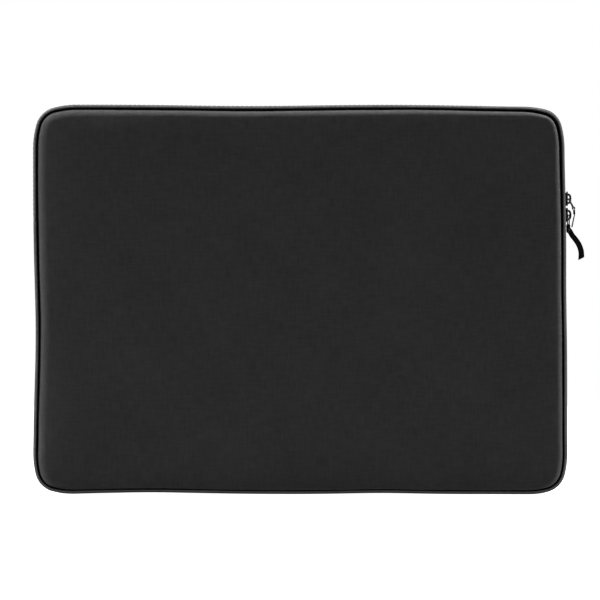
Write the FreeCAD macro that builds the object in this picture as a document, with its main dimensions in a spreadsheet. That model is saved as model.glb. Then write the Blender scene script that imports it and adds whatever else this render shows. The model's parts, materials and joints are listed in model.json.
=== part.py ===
import FreeCAD, Part

import math
import os

import Sketcher

# A padded laptop sleeve, standing upright: +Z up, front towards -Y, +X to the right as
# seen from the front. The origin is on the floor under the middle of the sleeve.
#
# Insets are measured from the outline inwards, depths from the middle plane towards the
# front or the back, and heights from the floor. Millimetres and degrees.
SIZES = {
    # outline
    "half_width": 200.0,
    "full_height": 291.7,
    "corner_radius": 25.5,
    "outline_inset": 0.0,
    # padded front and back panels, from the face inwards
    "face_depth": 15.0,
    "padding_depth": 14.2,
    "lining_depth": 10.6,
    "pocket_depth": 9.8,
    "panel_inset": 3.8,
    "panel_padding_inset": 4.6,
    "panel_edge_radius": 3.4,
    "padding_edge_radius": 2.6,
    # gusset round the sides and under the bottom
    "gusset_depth": 11.0,
    "gusset_padding_depth": 10.2,
    "gusset_padding_inset": 0.8,
    "gusset_lining_inset": 2.8,
    "gusset_inner_inset": 3.6,
    "gusset_edge_radius": 1.0,
    "gusset_padding_radius": 0.6,
    # zip strips over the top and halfway down both sides
    "left_zip_end": 205.0,
    "right_zip_end": 199.0,
    "strip_inner_inset": 2.0,
    "window_depth": 5.2,
    "strip_edge_radius": 0.9,
    "strip_lining_inset": 2.7,
    "strip_lining_inner": 3.5,
    "tape_inset": 2.1,
    "tape_inner_inset": 2.6,
    "tape_depth": 10.6,
    "coil_inset": 0.4,
    "coil_depth": 2.8,
    "coil_gap_depth": 0.6,
    "coil_end_setback": 1.6,
    "stop_length": 1.4,
    "stop_depth": 3.2,
    "cut_gap": 0.1,
    # seam bindings and zip end tabs, inside
    "binding_inset": 4.1,
    "binding_inner_inset": 12.0,
    "binding_depth": 7.6,
    "binding_clearance": 0.1,
    "tab_thickness": 0.8,
    "tab_gap": 0.1,
    "tab_depth": 7.3,
    "tab_length": 12.0,
    # the line that the front folds on when the mouth opens
    "fold_height": 229.0,
    # zip sliders, along the middle of the right side
    "upper_slider_height": 221.35,
    "lower_slider_height": 209.15,
    "slider_half_length": 5.45,
    "slider_head_width": 3.2,
    "slider_shoulder": 2.6,
    "slider_shoulder_width": 4.0,
    "slider_tail_width": 3.8,
    "plate_thickness": 0.9,
    "top_plate_lift": 0.1,
    "bottom_plate_inset": 2.9,
    "plate_corner_radius": 0.8,
    "plate_edge_radius": 0.3,
    "neck_width": 0.35,
    "neck_length": 3.7,
    "flange_inner_width": 3.1,
    "flange_thickness": 0.6,
    "flange_drop": 1.7,
    "flange_start": 2.4,
    "flange_end": 4.6,
    "bridge_half_length": 3.75,
    "bridge_top": 3.7,
    "bridge_hole_half": 2.1,
    "bridge_hole_top": 2.5,
    "bridge_half_width": 1.1,
    "bridge_edge_radius": 0.9,
    # wire rings and ribbon pulls
    "pivot_lift": 1.6,
    "ring_half_width": 4.8,
    "ring_length": 7.75,
    "ring_corner_radius": 1.2,
    "wire_radius": 0.6,
    "upper_ring_tilt": 28.0,
    "lower_ring_tilt": -1.5,
    "ribbon_half_width": 3.7,
    "eye_radius": 0.7,
    "eye_outer_radius": 1.3,
    "fold_half_thickness": 0.9,
    "fold_start": 0.95,
    "fold_length": 4.8,
    "ribbon_half_thickness": 0.5,
    "upper_ribbon_tilt": 0.0,
    "lower_ribbon_tilt": 15.0,
    "thread_radius": 0.2,
    "thread_length": 1.3,
    "thread_pitch": 1.75,
    "thread_row": 1.0,
}

# Each ribbon's tail is runs and bends down from its fold: a straight run has a length,
# and a bend a radius and how far it turns outwards.
TAILS = {
    "upper": [("bend", 60.0, -6.0), ("run", 4.5)],
    "lower": [("bend", 9.0, 26.0), ("run", 4.3), ("bend", 15.0, -47.0), ("run", 1.6)],
}
STITCHES_IN_ROW = 4

document = FreeCAD.newDocument("laptop_sleeve")
sheet = document.addObject("Spreadsheet::Sheet", "sizes")
for row, (alias, number) in enumerate(SIZES.items(), start=1):
    sheet.set(f"A{row}", alias)
    sheet.set(f"B{row}", str(number))
    sheet.setAlias(f"B{row}", alias)
document.recompute()


class Length:
    """A length worked out from the sheet: its expression and its present value."""

    def __init__(self, text, value):
        self.text = text
        self.value = value

    def __add__(self, other):
        return Length(f"({self.text} + {other.text})", self.value + other.value)

    def __sub__(self, other):
        return Length(f"({self.text} - {other.text})", self.value - other.value)

    def __neg__(self):
        return Length(f"(-1 * {self.text})", -self.value)

    def __mul__(self, number):
        return Length(f"({self.text} * {number})", self.value * number)


def size(alias):
    """The sheet's cell of that name."""
    return Length(f"sizes.{alias}", SIZES[alias])


ZERO = Length("0", 0.0)
half_width = size("half_width")
full_height = size("full_height")
fold_height = size("fold_height")
cut_gap = size("cut_gap")
kept = []  # the sub-parts that are written out


# Sketches


def sketch_on(body, role, offset=ZERO):
    """A sketch on one of the body's own origin planes, moved along the plane's normal."""
    plane = next(f for f in body.Origin.OriginFeatures if f.Role == role)
    sketch = body.newObject("Sketcher::SketchObject", "sketch")
    sketch.AttachmentSupport = [(plane, "")]
    sketch.MapMode = "FlatFace"
    if offset.value:
        sketch.setExpression("AttachmentOffset.Base.z", offset.text)
    return sketch


def bind(sketch, kind, references, length):
    """A dimension of the sketch that follows the sheet."""
    index = sketch.addConstraint(Sketcher.Constraint(kind, *references, length.value))
    sketch.setExpression(f"Constraints[{index}]", length.text)


def place(sketch, axis, geometry, point, length):
    """Fixes a point's distance from the sketch's origin along X or Y."""
    if abs(length.value) < 1e-9:
        across = -2 if axis == "X" else -1
        sketch.addConstraint(Sketcher.Constraint("PointOnObject", geometry, point, across))
    elif length.value > 0:
        bind(sketch, f"Distance{axis}", (-1, 1, geometry, point), length)
    else:
        bind(sketch, f"Distance{axis}", (geometry, point, -1, 1), -length)


def line(sketch, start, end):
    """A straight line between two points given as (X, Y) lengths."""
    ends = [FreeCAD.Vector(p[0].value, p[1].value, 0) for p in (start, end)]
    return sketch.addGeometry(Part.LineSegment(*ends), False)


def corner(sketch, centre, radius, first_quarter):
    """A quarter arc that starts first_quarter right angles round from +X."""
    middle = FreeCAD.Vector(centre[0].value, centre[1].value, 0)
    circle = Part.Circle(middle, FreeCAD.Vector(0, 0, 1), radius.value)
    start = first_quarter * math.pi / 2
    return sketch.addGeometry(Part.ArcOfCircle(circle, start, start + math.pi / 2), False)


def join(sketch, kind, one, one_end, other, other_end):
    sketch.addConstraint(Sketcher.Constraint(kind, one, one_end, other, other_end))


def polygon(sketch, points):
    """A closed outline with straight sides, every corner fixed."""
    count = len(points)
    sides = [line(sketch, points[n], points[(n + 1) % count]) for n in range(count)]
    for n, side in enumerate(sides):
        join(sketch, "Coincident", side, 2, sides[(n + 1) % count], 1)
        place(sketch, "X", side, 1, points[n][0])
        place(sketch, "Y", side, 1, points[n][1])


def rectangle(sketch, left, right, low, high):
    polygon(sketch, [(left, low), (right, low), (right, high), (left, high)])


def rounded_rectangle(sketch, left, right, low, high, radius):
    """Top, right, bottom and left sides with quarter arcs between them."""
    top = line(sketch, (left + radius, high), (right - radius, high))
    side = line(sketch, (right, high - radius), (right, low + radius))
    bottom = line(sketch, (right - radius, low), (left + radius, low))
    other = line(sketch, (left, low + radius), (left, high - radius))
    arcs = [
        corner(sketch, (right - radius, high - radius), radius, 0),
        corner(sketch, (left + radius, high - radius), radius, 1),
        corner(sketch, (left + radius, low + radius), radius, 2),
        corner(sketch, (right - radius, low + radius), radius, 3),
    ]
    for one, one_end, arc, arc_end in (
        (top, 2, arcs[0], 2),
        (side, 1, arcs[0], 1),
        (top, 1, arcs[1], 1),
        (other, 2, arcs[1], 2),
        (other, 1, arcs[2], 1),
        (bottom, 2, arcs[2], 2),
        (bottom, 1, arcs[3], 1),
        (side, 2, arcs[3], 2),
    ):
        join(sketch, "Tangent", one, one_end, arc, arc_end)
    bind(sketch, "Radius", (arcs[0],), radius)
    for arc in arcs[1:]:
        sketch.addConstraint(Sketcher.Constraint("Equal", arcs[0], arc))
    for level in (top, bottom):
        sketch.addConstraint(Sketcher.Constraint("Horizontal", level))
    for upright in (side, other):
        sketch.addConstraint(Sketcher.Constraint("Vertical", upright))
    place(sketch, "Y", top, 1, high)
    place(sketch, "Y", bottom, 1, low)
    place(sketch, "X", side, 1, right)
    place(sketch, "X", other, 1, left)


def outline(sketch, inset):
    """The sleeve's whole outline, moved inwards by the inset."""
    radius = size("corner_radius") - inset
    rounded_rectangle(
        sketch, inset - half_width, half_width - inset, inset, full_height - inset, radius
    )


def half_outline(sketch, inset, upper, left_end, right_end):
    """Left side, corner, top or bottom, corner and right side of the outline at an inset."""
    half = half_width - inset
    radius = size("corner_radius") - inset
    level = full_height - inset if upper else inset
    turn = level - radius if upper else level + radius
    left = line(sketch, (-half, left_end), (-half, turn))
    across = line(sketch, (radius - half, level), (half - radius, level))
    right = line(sketch, (half, turn), (half, right_end))
    left_arc = corner(sketch, (radius - half, turn), radius, 1 if upper else 2)
    right_arc = corner(sketch, (half - radius, turn), radius, 0 if upper else 3)
    first, second = (2, 1) if upper else (1, 2)
    join(sketch, "Tangent", left, 2, left_arc, first)
    join(sketch, "Tangent", across, 1, left_arc, second)
    join(sketch, "Tangent", across, 2, right_arc, first)
    join(sketch, "Tangent", right, 1, right_arc, second)
    sketch.addConstraint(Sketcher.Constraint("Vertical", left))
    sketch.addConstraint(Sketcher.Constraint("Horizontal", across))
    sketch.addConstraint(Sketcher.Constraint("Vertical", right))
    bind(sketch, "Radius", (left_arc,), radius)
    sketch.addConstraint(Sketcher.Constraint("Equal", left_arc, right_arc))
    place(sketch, "X", left, 1, -half)
    place(sketch, "Y", left, 1, left_end)
    place(sketch, "X", right, 2, half)
    place(sketch, "Y", right, 2, right_end)
    place(sketch, "Y", across, 1, level)
    return (left, 1, (-half, left_end)), (right, 2, (half, right_end))


def half_plate(sketch, inset, upper, level):
    """The part of the outline above or below a level, closed straight across."""
    left, right = half_outline(sketch, inset, upper, level, level)
    across = line(sketch, left[2], right[2])
    join(sketch, "Coincident", across, 1, *left[:2])
    join(sketch, "Coincident", across, 2, *right[:2])


def half_band(sketch, outer, inner, upper, left_end, right_end):
    """A band that follows the outline over the top or under the bottom."""
    outside = half_outline(sketch, outer, upper, left_end, right_end)
    inside = half_outline(sketch, inner, upper, left_end, right_end)
    for one, other in zip(outside, inside):
        across = line(sketch, one[2], other[2])
        join(sketch, "Coincident", across, 1, *one[:2])
        join(sketch, "Coincident", across, 2, *other[:2])


# Solids


def new_body(label, keep=True):
    body = document.addObject("PartDesign::Body", label)
    body.Label = label
    if keep:
        kept.append(body)
    return body


def pad(body, sketch, length):
    feature = body.newObject("PartDesign::Pad", "pad")
    feature.Profile = sketch
    feature.setExpression("Length", length.text)
    return feature


def round_edges(body, radius, chosen):
    """Rounds the edges of the body whose middle point passes the test."""
    document.recompute()
    base = body.Tip
    names = [
        f"Edge{n}"
        for n, edge in enumerate(base.Shape.Edges, start=1)
        if chosen(edge.valueAt((edge.FirstParameter + edge.LastParameter) / 2))
    ]
    feature = body.newObject("PartDesign::Fillet", "rounding")
    feature.Base = (base, names)
    feature.setExpression("Radius", radius.text)


def inset_at(point):
    """How far a point is inside the outline, on the XZ plane."""
    radius = size("corner_radius").value
    middle = full_height.value / 2
    across = abs(point.x) - (half_width.value - radius)
    up = abs(point.z - middle) - (middle - radius)
    outside = math.hypot(max(across, 0.0), max(up, 0.0))
    return radius - outside - min(max(across, up), 0.0)


def layer(label, draw, side, outer, inner, rounded=None, radius=None, keep=True):
    """A layer between two depths on one side of the middle plane, or right across it.

    The edges at the inset called rounded, on the outer depth's face, get a radius.
    """
    body = new_body(label, keep)
    start = {"front": inner, "back": -outer, "across": -outer}[side]
    reach = outer * 2 if side == "across" else outer - inner
    sketch = sketch_on(body, "XZ_Plane", start)
    draw(sketch)
    pad(body, sketch, reach)
    if rounded is not None:
        round_edges(
            body,
            radius,
            lambda p: abs(inset_at(p) - rounded.value) < 0.01
            and abs(abs(p.y) - outer.value) < 0.01,
        )
    return body


def cut(label, base, tool):
    """What is left of base when tool is taken out of it."""
    piece = document.addObject("Part::Cut", label)
    piece.Label = label
    piece.Base = base
    piece.Tool = tool
    kept.append(piece)
    return piece


def spare(body, label):
    """A second object of the same shape, for a cut to use up."""
    twin = document.addObject("Part::Compound", label)
    twin.Links = [body]
    return twin


# Padded panels: a knit cover wrapped over foam, with a lining behind


def panel(prefix, side, draw_at):
    """draw_at(sketch, inset) draws the panel's outline at an inset."""

    def drawn(inset):
        return lambda sketch: draw_at(sketch, inset)

    edge, padded = size("panel_inset"), size("panel_padding_inset")
    lining = size("lining_depth")
    padding = layer(
        prefix + "padding",
        drawn(padded),
        side,
        size("padding_depth"),
        lining,
        padded,
        size("padding_edge_radius"),
    )
    wrap = layer(
        prefix + "cover_blank",
        drawn(edge),
        side,
        size("face_depth"),
        lining,
        edge,
        size("panel_edge_radius"),
        keep=False,
    )
    cut(prefix + "cover", wrap, spare(padding, prefix + "cover_core"))
    layer(prefix + "lining", drawn(edge), side, lining, size("pocket_depth"))


def below_fold(sketch, inset):
    half_plate(sketch, inset, False, fold_height - cut_gap)


def above_fold(sketch, inset):
    half_plate(sketch, inset, True, fold_height + cut_gap)


panel("back_", "back", outline)
panel("lower_front_", "front", below_fold)
panel("upper_front_", "front", above_fold)


# Gusset: one padded strip down both sides and under the bottom


def gusset_band(outer, inner):
    """The band between two insets, from the left zip end round to the right one."""
    left = size("left_zip_end") - cut_gap
    right = size("right_zip_end") - cut_gap
    return lambda sketch: half_band(sketch, outer, inner, False, left, right)


outer_face = size("outline_inset")
gusset_padding = layer(
    "gusset_padding",
    gusset_band(size("gusset_padding_inset"), size("gusset_lining_inset")),
    "across",
    size("gusset_padding_depth"),
    ZERO,
    size("gusset_padding_inset"),
    size("gusset_padding_radius"),
)
gusset_wrap = layer(
    "gusset_cover_blank",
    gusset_band(outer_face, size("gusset_lining_inset")),
    "across",
    size("gusset_depth"),
    ZERO,
    outer_face,
    size("gusset_edge_radius"),
    keep=False,
)
cut("gusset_cover", gusset_wrap, spare(gusset_padding, "gusset_cover_core"))
layer(
    "gusset_lining",
    gusset_band(size("gusset_lining_inset"), size("gusset_inner_inset")),
    "across",
    size("gusset_depth"),
    ZERO,
)


# Zip: strip, tape, coil and strip lining, each with a front and a back half


def zip_layers(side):
    """Name, outer and inner inset, outer and inner depth, end setback and edge radius."""
    window, gap = size("window_depth"), size("coil_gap_depth")
    return (
        (
            f"{side}_zip_strip",
            (outer_face, size("strip_inner_inset")),
            (size("gusset_depth"), window),
            ZERO,
            size("strip_edge_radius"),
        ),
        (
            f"{side}_strip_lining",
            (size("strip_lining_inset"), size("strip_lining_inner")),
            (size("gusset_depth"), window),
            ZERO,
            None,
        ),
        (
            f"{side}_zip_tape",
            (size("tape_inset"), size("tape_inner_inset")),
            (size("tape_depth"), gap),
            ZERO,
            None,
        ),
        (
            f"{side}_zip_coil",
            (size("coil_inset"), size("strip_inner_inset")),
            (size("coil_depth"), gap),
            size("coil_end_setback"),
            None,
        ),
    )


def side_bar(sketch, sign, insets, low, high):
    """A straight bar at the left (-1) or right (+1) side between two heights."""
    edges = [(half_width - inset) * sign for inset in insets]
    edges.sort(key=lambda edge: edge.value)
    rectangle(sketch, edges[0], edges[1], low, high)


for name, insets, depths, setback, radius in zip_layers("back"):
    ends = [size("left_zip_end") + setback, size("right_zip_end") + setback]
    layer(
        name,
        lambda sketch: half_band(sketch, *insets, True, *ends),
        "back",
        *depths,
        insets[0] if radius else None,
        radius,
    )

for name, insets, depths, setback, radius in zip_layers("front"):
    ends = [fold_height + cut_gap] * 2
    layer(
        name,
        lambda sketch: half_band(sketch, *insets, True, *ends),
        "front",
        *depths,
        insets[0] if radius else None,
        radius,
    )
    for hand, sign in (("left", -1), ("right", 1)):
        low = size(f"{hand}_zip_end") + setback
        layer(
            f"{name}_{hand}_end",
            lambda sketch: side_bar(sketch, sign, insets, low, fold_height - cut_gap),
            "front",
            *depths,
            insets[0] if radius else None,
            radius,
        )


# Zip ends: a sewn stop across the coil, and a fabric tab behind the tapes' raw ends


for hand, sign in (("left", -1), ("right", 1)):
    zip_end = size(f"{hand}_zip_end")
    stop_insets = (size("outline_inset"), size("strip_inner_inset"))
    stop_low = zip_end + cut_gap
    layer(
        f"{hand}_zip_stop",
        lambda sketch: side_bar(
            sketch, sign, stop_insets, stop_low, stop_low + size("stop_length")
        ),
        "across",
        size("stop_depth"),
        ZERO,
    )
    tab_inset = size("gusset_inner_inset") + size("tab_gap")
    tab_insets = (tab_inset, tab_inset + size("tab_thickness"))
    layer(
        f"{hand}_zip_end_tab",
        lambda sketch: side_bar(
            sketch, sign, tab_insets, zip_end - size("tab_length"), zip_end - cut_gap
        ),
        "across",
        size("tab_depth"),
        ZERO,
    )


# Seam bindings: tape folded over the seam allowances, inside


def binding_ring(sketch):
    outline(sketch, size("binding_inset"))
    outline(sketch, size("binding_inner_inset"))


def binding_half(upper):
    level = fold_height + cut_gap if upper else fold_height - cut_gap
    insets = (size("binding_inset"), size("binding_inner_inset"))
    return lambda sketch: half_band(sketch, *insets, upper, level, level)


binding_outer = size("pocket_depth") - size("binding_clearance")
for name, side, draw in (
    ("back_seam_binding", "back", binding_ring),
    ("lower_front_seam_binding", "front", binding_half(False)),
    ("upper_front_seam_binding", "front", binding_half(True)),
):
    layer(name, draw, side, binding_outer, size("binding_depth"))


# Sliders: two plates joined by a neck between the coils, flanges, and a bridge outside


def zip_slider(label, height, flip):
    """A slider whose wide head points down, or up if flipped."""
    body = new_body(label)
    long, head = size("slider_half_length"), size("slider_head_width")
    wide, tail = size("slider_shoulder_width"), size("slider_tail_width")
    shoulder = size("slider_shoulder")
    shield = [
        (-head, -long),
        (head, -long),
        (wide, shoulder - long),
        (tail, long),
        (-tail, long),
        (-wide, shoulder - long),
    ]
    lift, thick = size("top_plate_lift"), size("plate_thickness")
    bottom = -size("bottom_plate_inset")
    for start in (-lift, bottom - thick):
        plate = sketch_on(body, "YZ_Plane", start)
        polygon(plate, shield)
        pad(body, plate, thick)
        if start.value > bottom.value:
            round_plate(body, start, start + thick)
    neck = sketch_on(body, "YZ_Plane", bottom)
    half_neck = size("neck_width")
    neck_low = size("plate_edge_radius") - long
    rectangle(neck, -half_neck, half_neck, neck_low, neck_low + size("neck_length"))
    pad(body, neck, -lift - bottom)
    for sign in (-1, 1):
        edges = [size("flange_inner_width") * sign]
        edges.append((size("flange_inner_width") + size("flange_thickness")) * sign)
        edges.sort(key=lambda edge: edge.value)
        flange = sketch_on(body, "YZ_Plane", -size("flange_drop"))
        rectangle(flange, *edges, -size("flange_start"), size("flange_end"))
        pad(body, flange, size("flange_drop") - lift)
    bridge = sketch_on(body, "XZ_Plane", -size("bridge_half_width"))
    foot = thick - lift
    reach, hole = size("bridge_half_length"), size("bridge_hole_half")
    top, hole_top = size("bridge_top"), size("bridge_hole_top")
    polygon(
        bridge,
        [
            (foot, -reach),
            (top, -reach),
            (top, reach),
            (foot, reach),
            (foot, hole),
            (hole_top, hole),
            (hole_top, -hole),
            (foot, -hole),
        ],
    )
    pad(body, bridge, size("bridge_half_width") * 2)
    round_edges(
        body,
        size("bridge_edge_radius"),
        lambda p: abs(p.x - top.value) < 0.01
        and abs(abs(p.z) - reach.value) < 0.01
        and abs(p.y) < 0.01,
    )
    turn = FreeCAD.Rotation(FreeCAD.Vector(1, 0, 0), 180 if flip else 0)
    body.Placement = FreeCAD.Placement(FreeCAD.Vector(0, 0, 0), turn)
    stand(body, half_width, height)
    return body


def round_plate(body, low, high):
    """Rounds a slider plate's corners, then the rim of its outer face."""
    long = size("slider_half_length").value
    middle = (low.value + high.value) / 2
    round_edges(body, size("plate_corner_radius"), lambda p: abs(p.x - middle) < 0.01)
    round_edges(
        body,
        size("plate_edge_radius"),
        lambda p: abs(p.x - high.value) < 0.01 and max(abs(p.z), abs(p.y)) <= long,
    )


def stand(body, across, height):
    """Places a body in the middle plane; its place follows the sheet."""
    body.setExpression("Placement.Base.x", across.text)
    body.setExpression("Placement.Base.z", height.text)


# Pull rings: one wire bent into a rounded rectangle, its top bar through the bridge


def pull_ring(label, height, tilt):
    body = new_body(label)
    wide, radius = size("ring_half_width"), size("ring_corner_radius")
    spine = sketch_on(body, "YZ_Plane")
    rounded_rectangle(spine, -wide, wide, -size("ring_length"), ZERO, radius)
    section = sketch_on(body, "XZ_Plane", wide - radius)
    middle = FreeCAD.Vector(0, 0, 0)
    circle = Part.Circle(middle, FreeCAD.Vector(0, 0, 1), SIZES["wire_radius"])
    around = section.addGeometry(circle, False)
    bind(section, "Radius", (around,), size("wire_radius"))
    section.addConstraint(Sketcher.Constraint("Coincident", around, 3, -1, 1))
    document.recompute()
    wire = body.newObject("PartDesign::AdditivePipe", "wire")
    wire.Profile = section
    wire.Spine = (spine, [f"Edge{n + 1}" for n in range(len(spine.Shape.Edges))])
    turn = FreeCAD.Rotation(FreeCAD.Vector(0, -1, 0), tilt)
    body.Placement = FreeCAD.Placement(FreeCAD.Vector(0, 0, 0), turn)
    stand(body, half_width + size("pivot_lift"), height)


def ring_foot(height, tilt):
    """Where the middle of a ring's lower bar is, across and up, in numbers."""
    lean = math.radians(tilt)
    across = SIZES["half_width"] + SIZES["pivot_lift"] + SIZES["ring_length"] * math.sin(lean)
    return across, height.value - SIZES["ring_length"] * math.cos(lean)


# Ribbon pulls: woven ribbon folded round the ring's lower bar and sewn to itself


def tail_edges(runs, start):
    """Edges of a tail's middle line, from a point heading straight down."""
    at, heading, edges = start, 0.0, []
    for kind, amount, *turned in runs:
        if kind == "run":
            away = FreeCAD.Vector(math.sin(heading), 0, -math.cos(heading)) * amount
            edges.append(Part.LineSegment(at, at + away).toShape())
            at = at + away
            continue
        turn = math.radians(turned[0])
        hand = math.copysign(1, turn)
        middle = at + FreeCAD.Vector(math.cos(heading), 0, math.sin(heading)) * amount * hand

        def on_arc(share):
            angle = heading + turn * share
            radial = FreeCAD.Vector(math.cos(angle), 0, math.sin(angle))
            return middle - radial * amount * hand

        edges.append(Part.Arc(at, on_arc(0.5), on_arc(1.0)).toShape())
        at, heading = on_arc(1.0), heading + turn
    return edges


def ribbon_shape(runs):
    """Eye, sewn fold and tail as one solid, with the ring's bar at the origin."""
    width = 2 * SIZES["ribbon_half_width"]
    side = FreeCAD.Vector(0, -SIZES["ribbon_half_width"], 0)
    along = FreeCAD.Vector(0, 1, 0)
    eye = Part.makeCylinder(SIZES["eye_outer_radius"], width, side, along)
    hole = Part.makeCylinder(SIZES["eye_radius"], width, side, along)
    thick, low = SIZES["fold_half_thickness"], -SIZES["fold_length"]
    fold = Part.makeBox(
        2 * thick,
        width,
        -SIZES["fold_start"] - low,
        FreeCAD.Vector(-thick, side.y, low),
    )
    thin = SIZES["ribbon_half_thickness"]
    start = FreeCAD.Vector(0, 0, low + thin)
    across = FreeCAD.Vector(thin, 0, 0)
    corners = [side - across, side + across, across - side, -side - across, side - across]
    section = Part.makePolygon([start + corner for corner in corners])
    spine = Part.Wire(tail_edges(runs, start))
    tail = spine.makePipeShell([section], True, False)
    return eye.fuse([fold, tail]).cut(hole).removeSplitter()


def stitch_shape():
    """Rows of short threads across both faces of the fold."""
    threads = []
    radius, length = SIZES["thread_radius"], SIZES["thread_length"]
    off = SIZES["fold_half_thickness"] + radius
    row_top = -(SIZES["fold_start"] + SIZES["fold_length"]) / 2
    for face in (-off, off):
        for row in (-1, 1):
            for n in range(STITCHES_IN_ROW):
                middle = (n - (STITCHES_IN_ROW - 1) / 2) * SIZES["thread_pitch"]
                start = FreeCAD.Vector(
                    face, middle - length / 2, row_top + row * SIZES["thread_row"]
                )
                threads.append(
                    Part.makeCylinder(radius, length, start, FreeCAD.Vector(0, 1, 0))
                )
    return Part.makeCompound(threads)


def fixed_shape(label, shape, across, height, tilt):
    """A sub-part whose shape is worked out here, turned outwards by its tilt."""
    piece = document.addObject("Part::Feature", label)
    piece.Label = label
    piece.Shape = shape
    turn = FreeCAD.Rotation(FreeCAD.Vector(0, -1, 0), tilt)
    piece.Placement = FreeCAD.Placement(FreeCAD.Vector(across, 0, height), turn)
    kept.append(piece)


for which in ("upper", "lower"):
    height = size(f"{which}_slider_height")
    tilt = SIZES[f"{which}_ring_tilt"]
    zip_slider(f"{which}_slider_body", height, flip=which == "lower")
    pull_ring(f"{which}_pull_ring", height, tilt)
    across, foot = ring_foot(height, tilt)
    lean = SIZES[f"{which}_ribbon_tilt"]
    fixed_shape(f"{which}_pull_ribbon", ribbon_shape(TAILS[which]), across, foot, lean)
    fixed_shape(f"{which}_pull_stitching", stitch_shape(), across, foot, lean)


# Check everything, then write one file for each sub-part

document.recompute()
for thing in document.Objects:
    faults = [state for state in thing.State if state in ("Invalid", "Error")]
    if faults:
        raise RuntimeError(f"{thing.Label} is {faults}")
os.makedirs("parts", exist_ok=True)
for piece in kept:
    if piece.Shape.isNull() or not piece.Shape.isValid() or not piece.Shape.Solids:
        raise RuntimeError(f"{piece.Label} has no valid solid")
    piece.Shape.exportStep(f"parts/{piece.Label}.step")
    box = piece.Shape.BoundBox
    print(
        f"{piece.Label}: {len(piece.Shape.Solids)} solid, {piece.Shape.Volume:.0f} mm3, "
        f"x {box.XMin:.1f}..{box.XMax:.1f}, y {box.YMin:.1f}..{box.YMax:.1f}, "
        f"z {box.ZMin:.1f}..{box.ZMax:.1f}"
    )
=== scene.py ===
"""Looks of a padded laptop sleeve: two knitted panels over foam, a gusset round the sides and
under the bottom, and a coil zip between two strips over the top, with two sliders and pulls.

Shapes are worked out in millimetres and become metres when their mesh is made. Most soft
pieces follow one outline: a place round it is s, measured from the middle of the bottom,
anticlockwise as seen from the front. An inset is measured from the outline inwards, and a
depth from the middle plane towards the front or the back.
"""

import itertools
import json
import math

import bmesh
import bpy
import numpy as np
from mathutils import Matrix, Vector, noise


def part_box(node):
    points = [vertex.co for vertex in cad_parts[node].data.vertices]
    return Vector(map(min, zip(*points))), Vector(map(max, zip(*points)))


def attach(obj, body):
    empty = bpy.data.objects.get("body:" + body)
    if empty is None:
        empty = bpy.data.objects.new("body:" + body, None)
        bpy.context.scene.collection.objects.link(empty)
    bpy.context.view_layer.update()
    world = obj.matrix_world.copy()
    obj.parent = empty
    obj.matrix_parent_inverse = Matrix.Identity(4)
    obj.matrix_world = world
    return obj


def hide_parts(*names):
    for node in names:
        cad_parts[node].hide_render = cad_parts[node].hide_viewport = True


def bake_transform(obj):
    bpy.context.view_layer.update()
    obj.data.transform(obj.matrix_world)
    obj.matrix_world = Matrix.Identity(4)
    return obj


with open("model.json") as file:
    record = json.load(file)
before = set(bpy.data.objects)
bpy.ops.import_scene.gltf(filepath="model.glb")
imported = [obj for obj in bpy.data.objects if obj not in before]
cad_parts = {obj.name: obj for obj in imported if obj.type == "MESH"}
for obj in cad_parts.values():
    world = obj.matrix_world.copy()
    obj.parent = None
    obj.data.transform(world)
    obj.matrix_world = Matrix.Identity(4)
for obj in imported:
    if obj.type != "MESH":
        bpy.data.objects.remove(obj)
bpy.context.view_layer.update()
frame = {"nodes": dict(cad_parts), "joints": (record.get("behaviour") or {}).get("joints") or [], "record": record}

MM = 0.001


def low(node):
    """Lowest corner of a CAD node, in millimetres."""
    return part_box(node)[0] / MM


def high(node):
    """Highest corner of a CAD node, in millimetres."""
    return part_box(node)[1] / MM


WIDTH = 2 * high("gusset_cover").x
HEIGHT = high("back_zip_strip").z
FACE_DEPTH = high("back_cover").y
PANEL_EDGE = WIDTH / 2 - high("back_cover").x
GUSSET_DEPTH = high("gusset_cover").y
LEFT_END = low("front_zip_strip_left_end").z
RIGHT_END = low("front_zip_strip_right_end").z
PIVOT = {j["name"]: Vector(j["pos_m"]) / MM for j in frame["joints"] if "pos_m" in j}
# The front's and the back's sign in y, with their labels
FRONT, BACK = -1, 1
SIDES = ((FRONT, "front"), (BACK, "back"))


# ---- The outline

# Each corner is three arcs: a radius and the degrees it turns
CORNER = [(69.0, 15.0), (18.2, 60.0), (69.0, 15.0)]
CORNER_RUNS = [(radius * math.radians(turn), turn) for radius, turn in CORNER]
CORNER_LENGTH = sum(length for length, _ in CORNER_RUNS)
# Steps of the traced outline that places are read from
TRACE_STEPS = 8000
# Where the soft outline pulls in: side, place on it, spread and depth
DENTS = [
    ("left", 120.0, 40.0, 1.9),
    ("right", 262.0, 42.0, 2.1),
    ("right", 155.0, 25.0, 0.6),
    ("top", -37.0, 45.0, 1.05),
    ("top", 150.0, 40.0, 0.8),
    ("bottom", -112.0, 40.0, 1.2),
    ("bottom", -194.0, 15.0, -0.85),
    ("bottom", 60.0, 25.0, 0.8),
    ("bottom", 194.0, 15.0, -1.0),
]


def corner_reach():
    """How far a corner reaches along each side."""
    reach, heading = 0.0, 0.0
    for radius, turn in CORNER:
        turned = heading + math.radians(turn)
        reach += radius * (math.sin(turned) - math.sin(heading))
        heading = turned
    return reach


REACH = corner_reach()
FLAT = WIDTH - 2 * REACH
SIDE = HEIGHT - 2 * REACH
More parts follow.
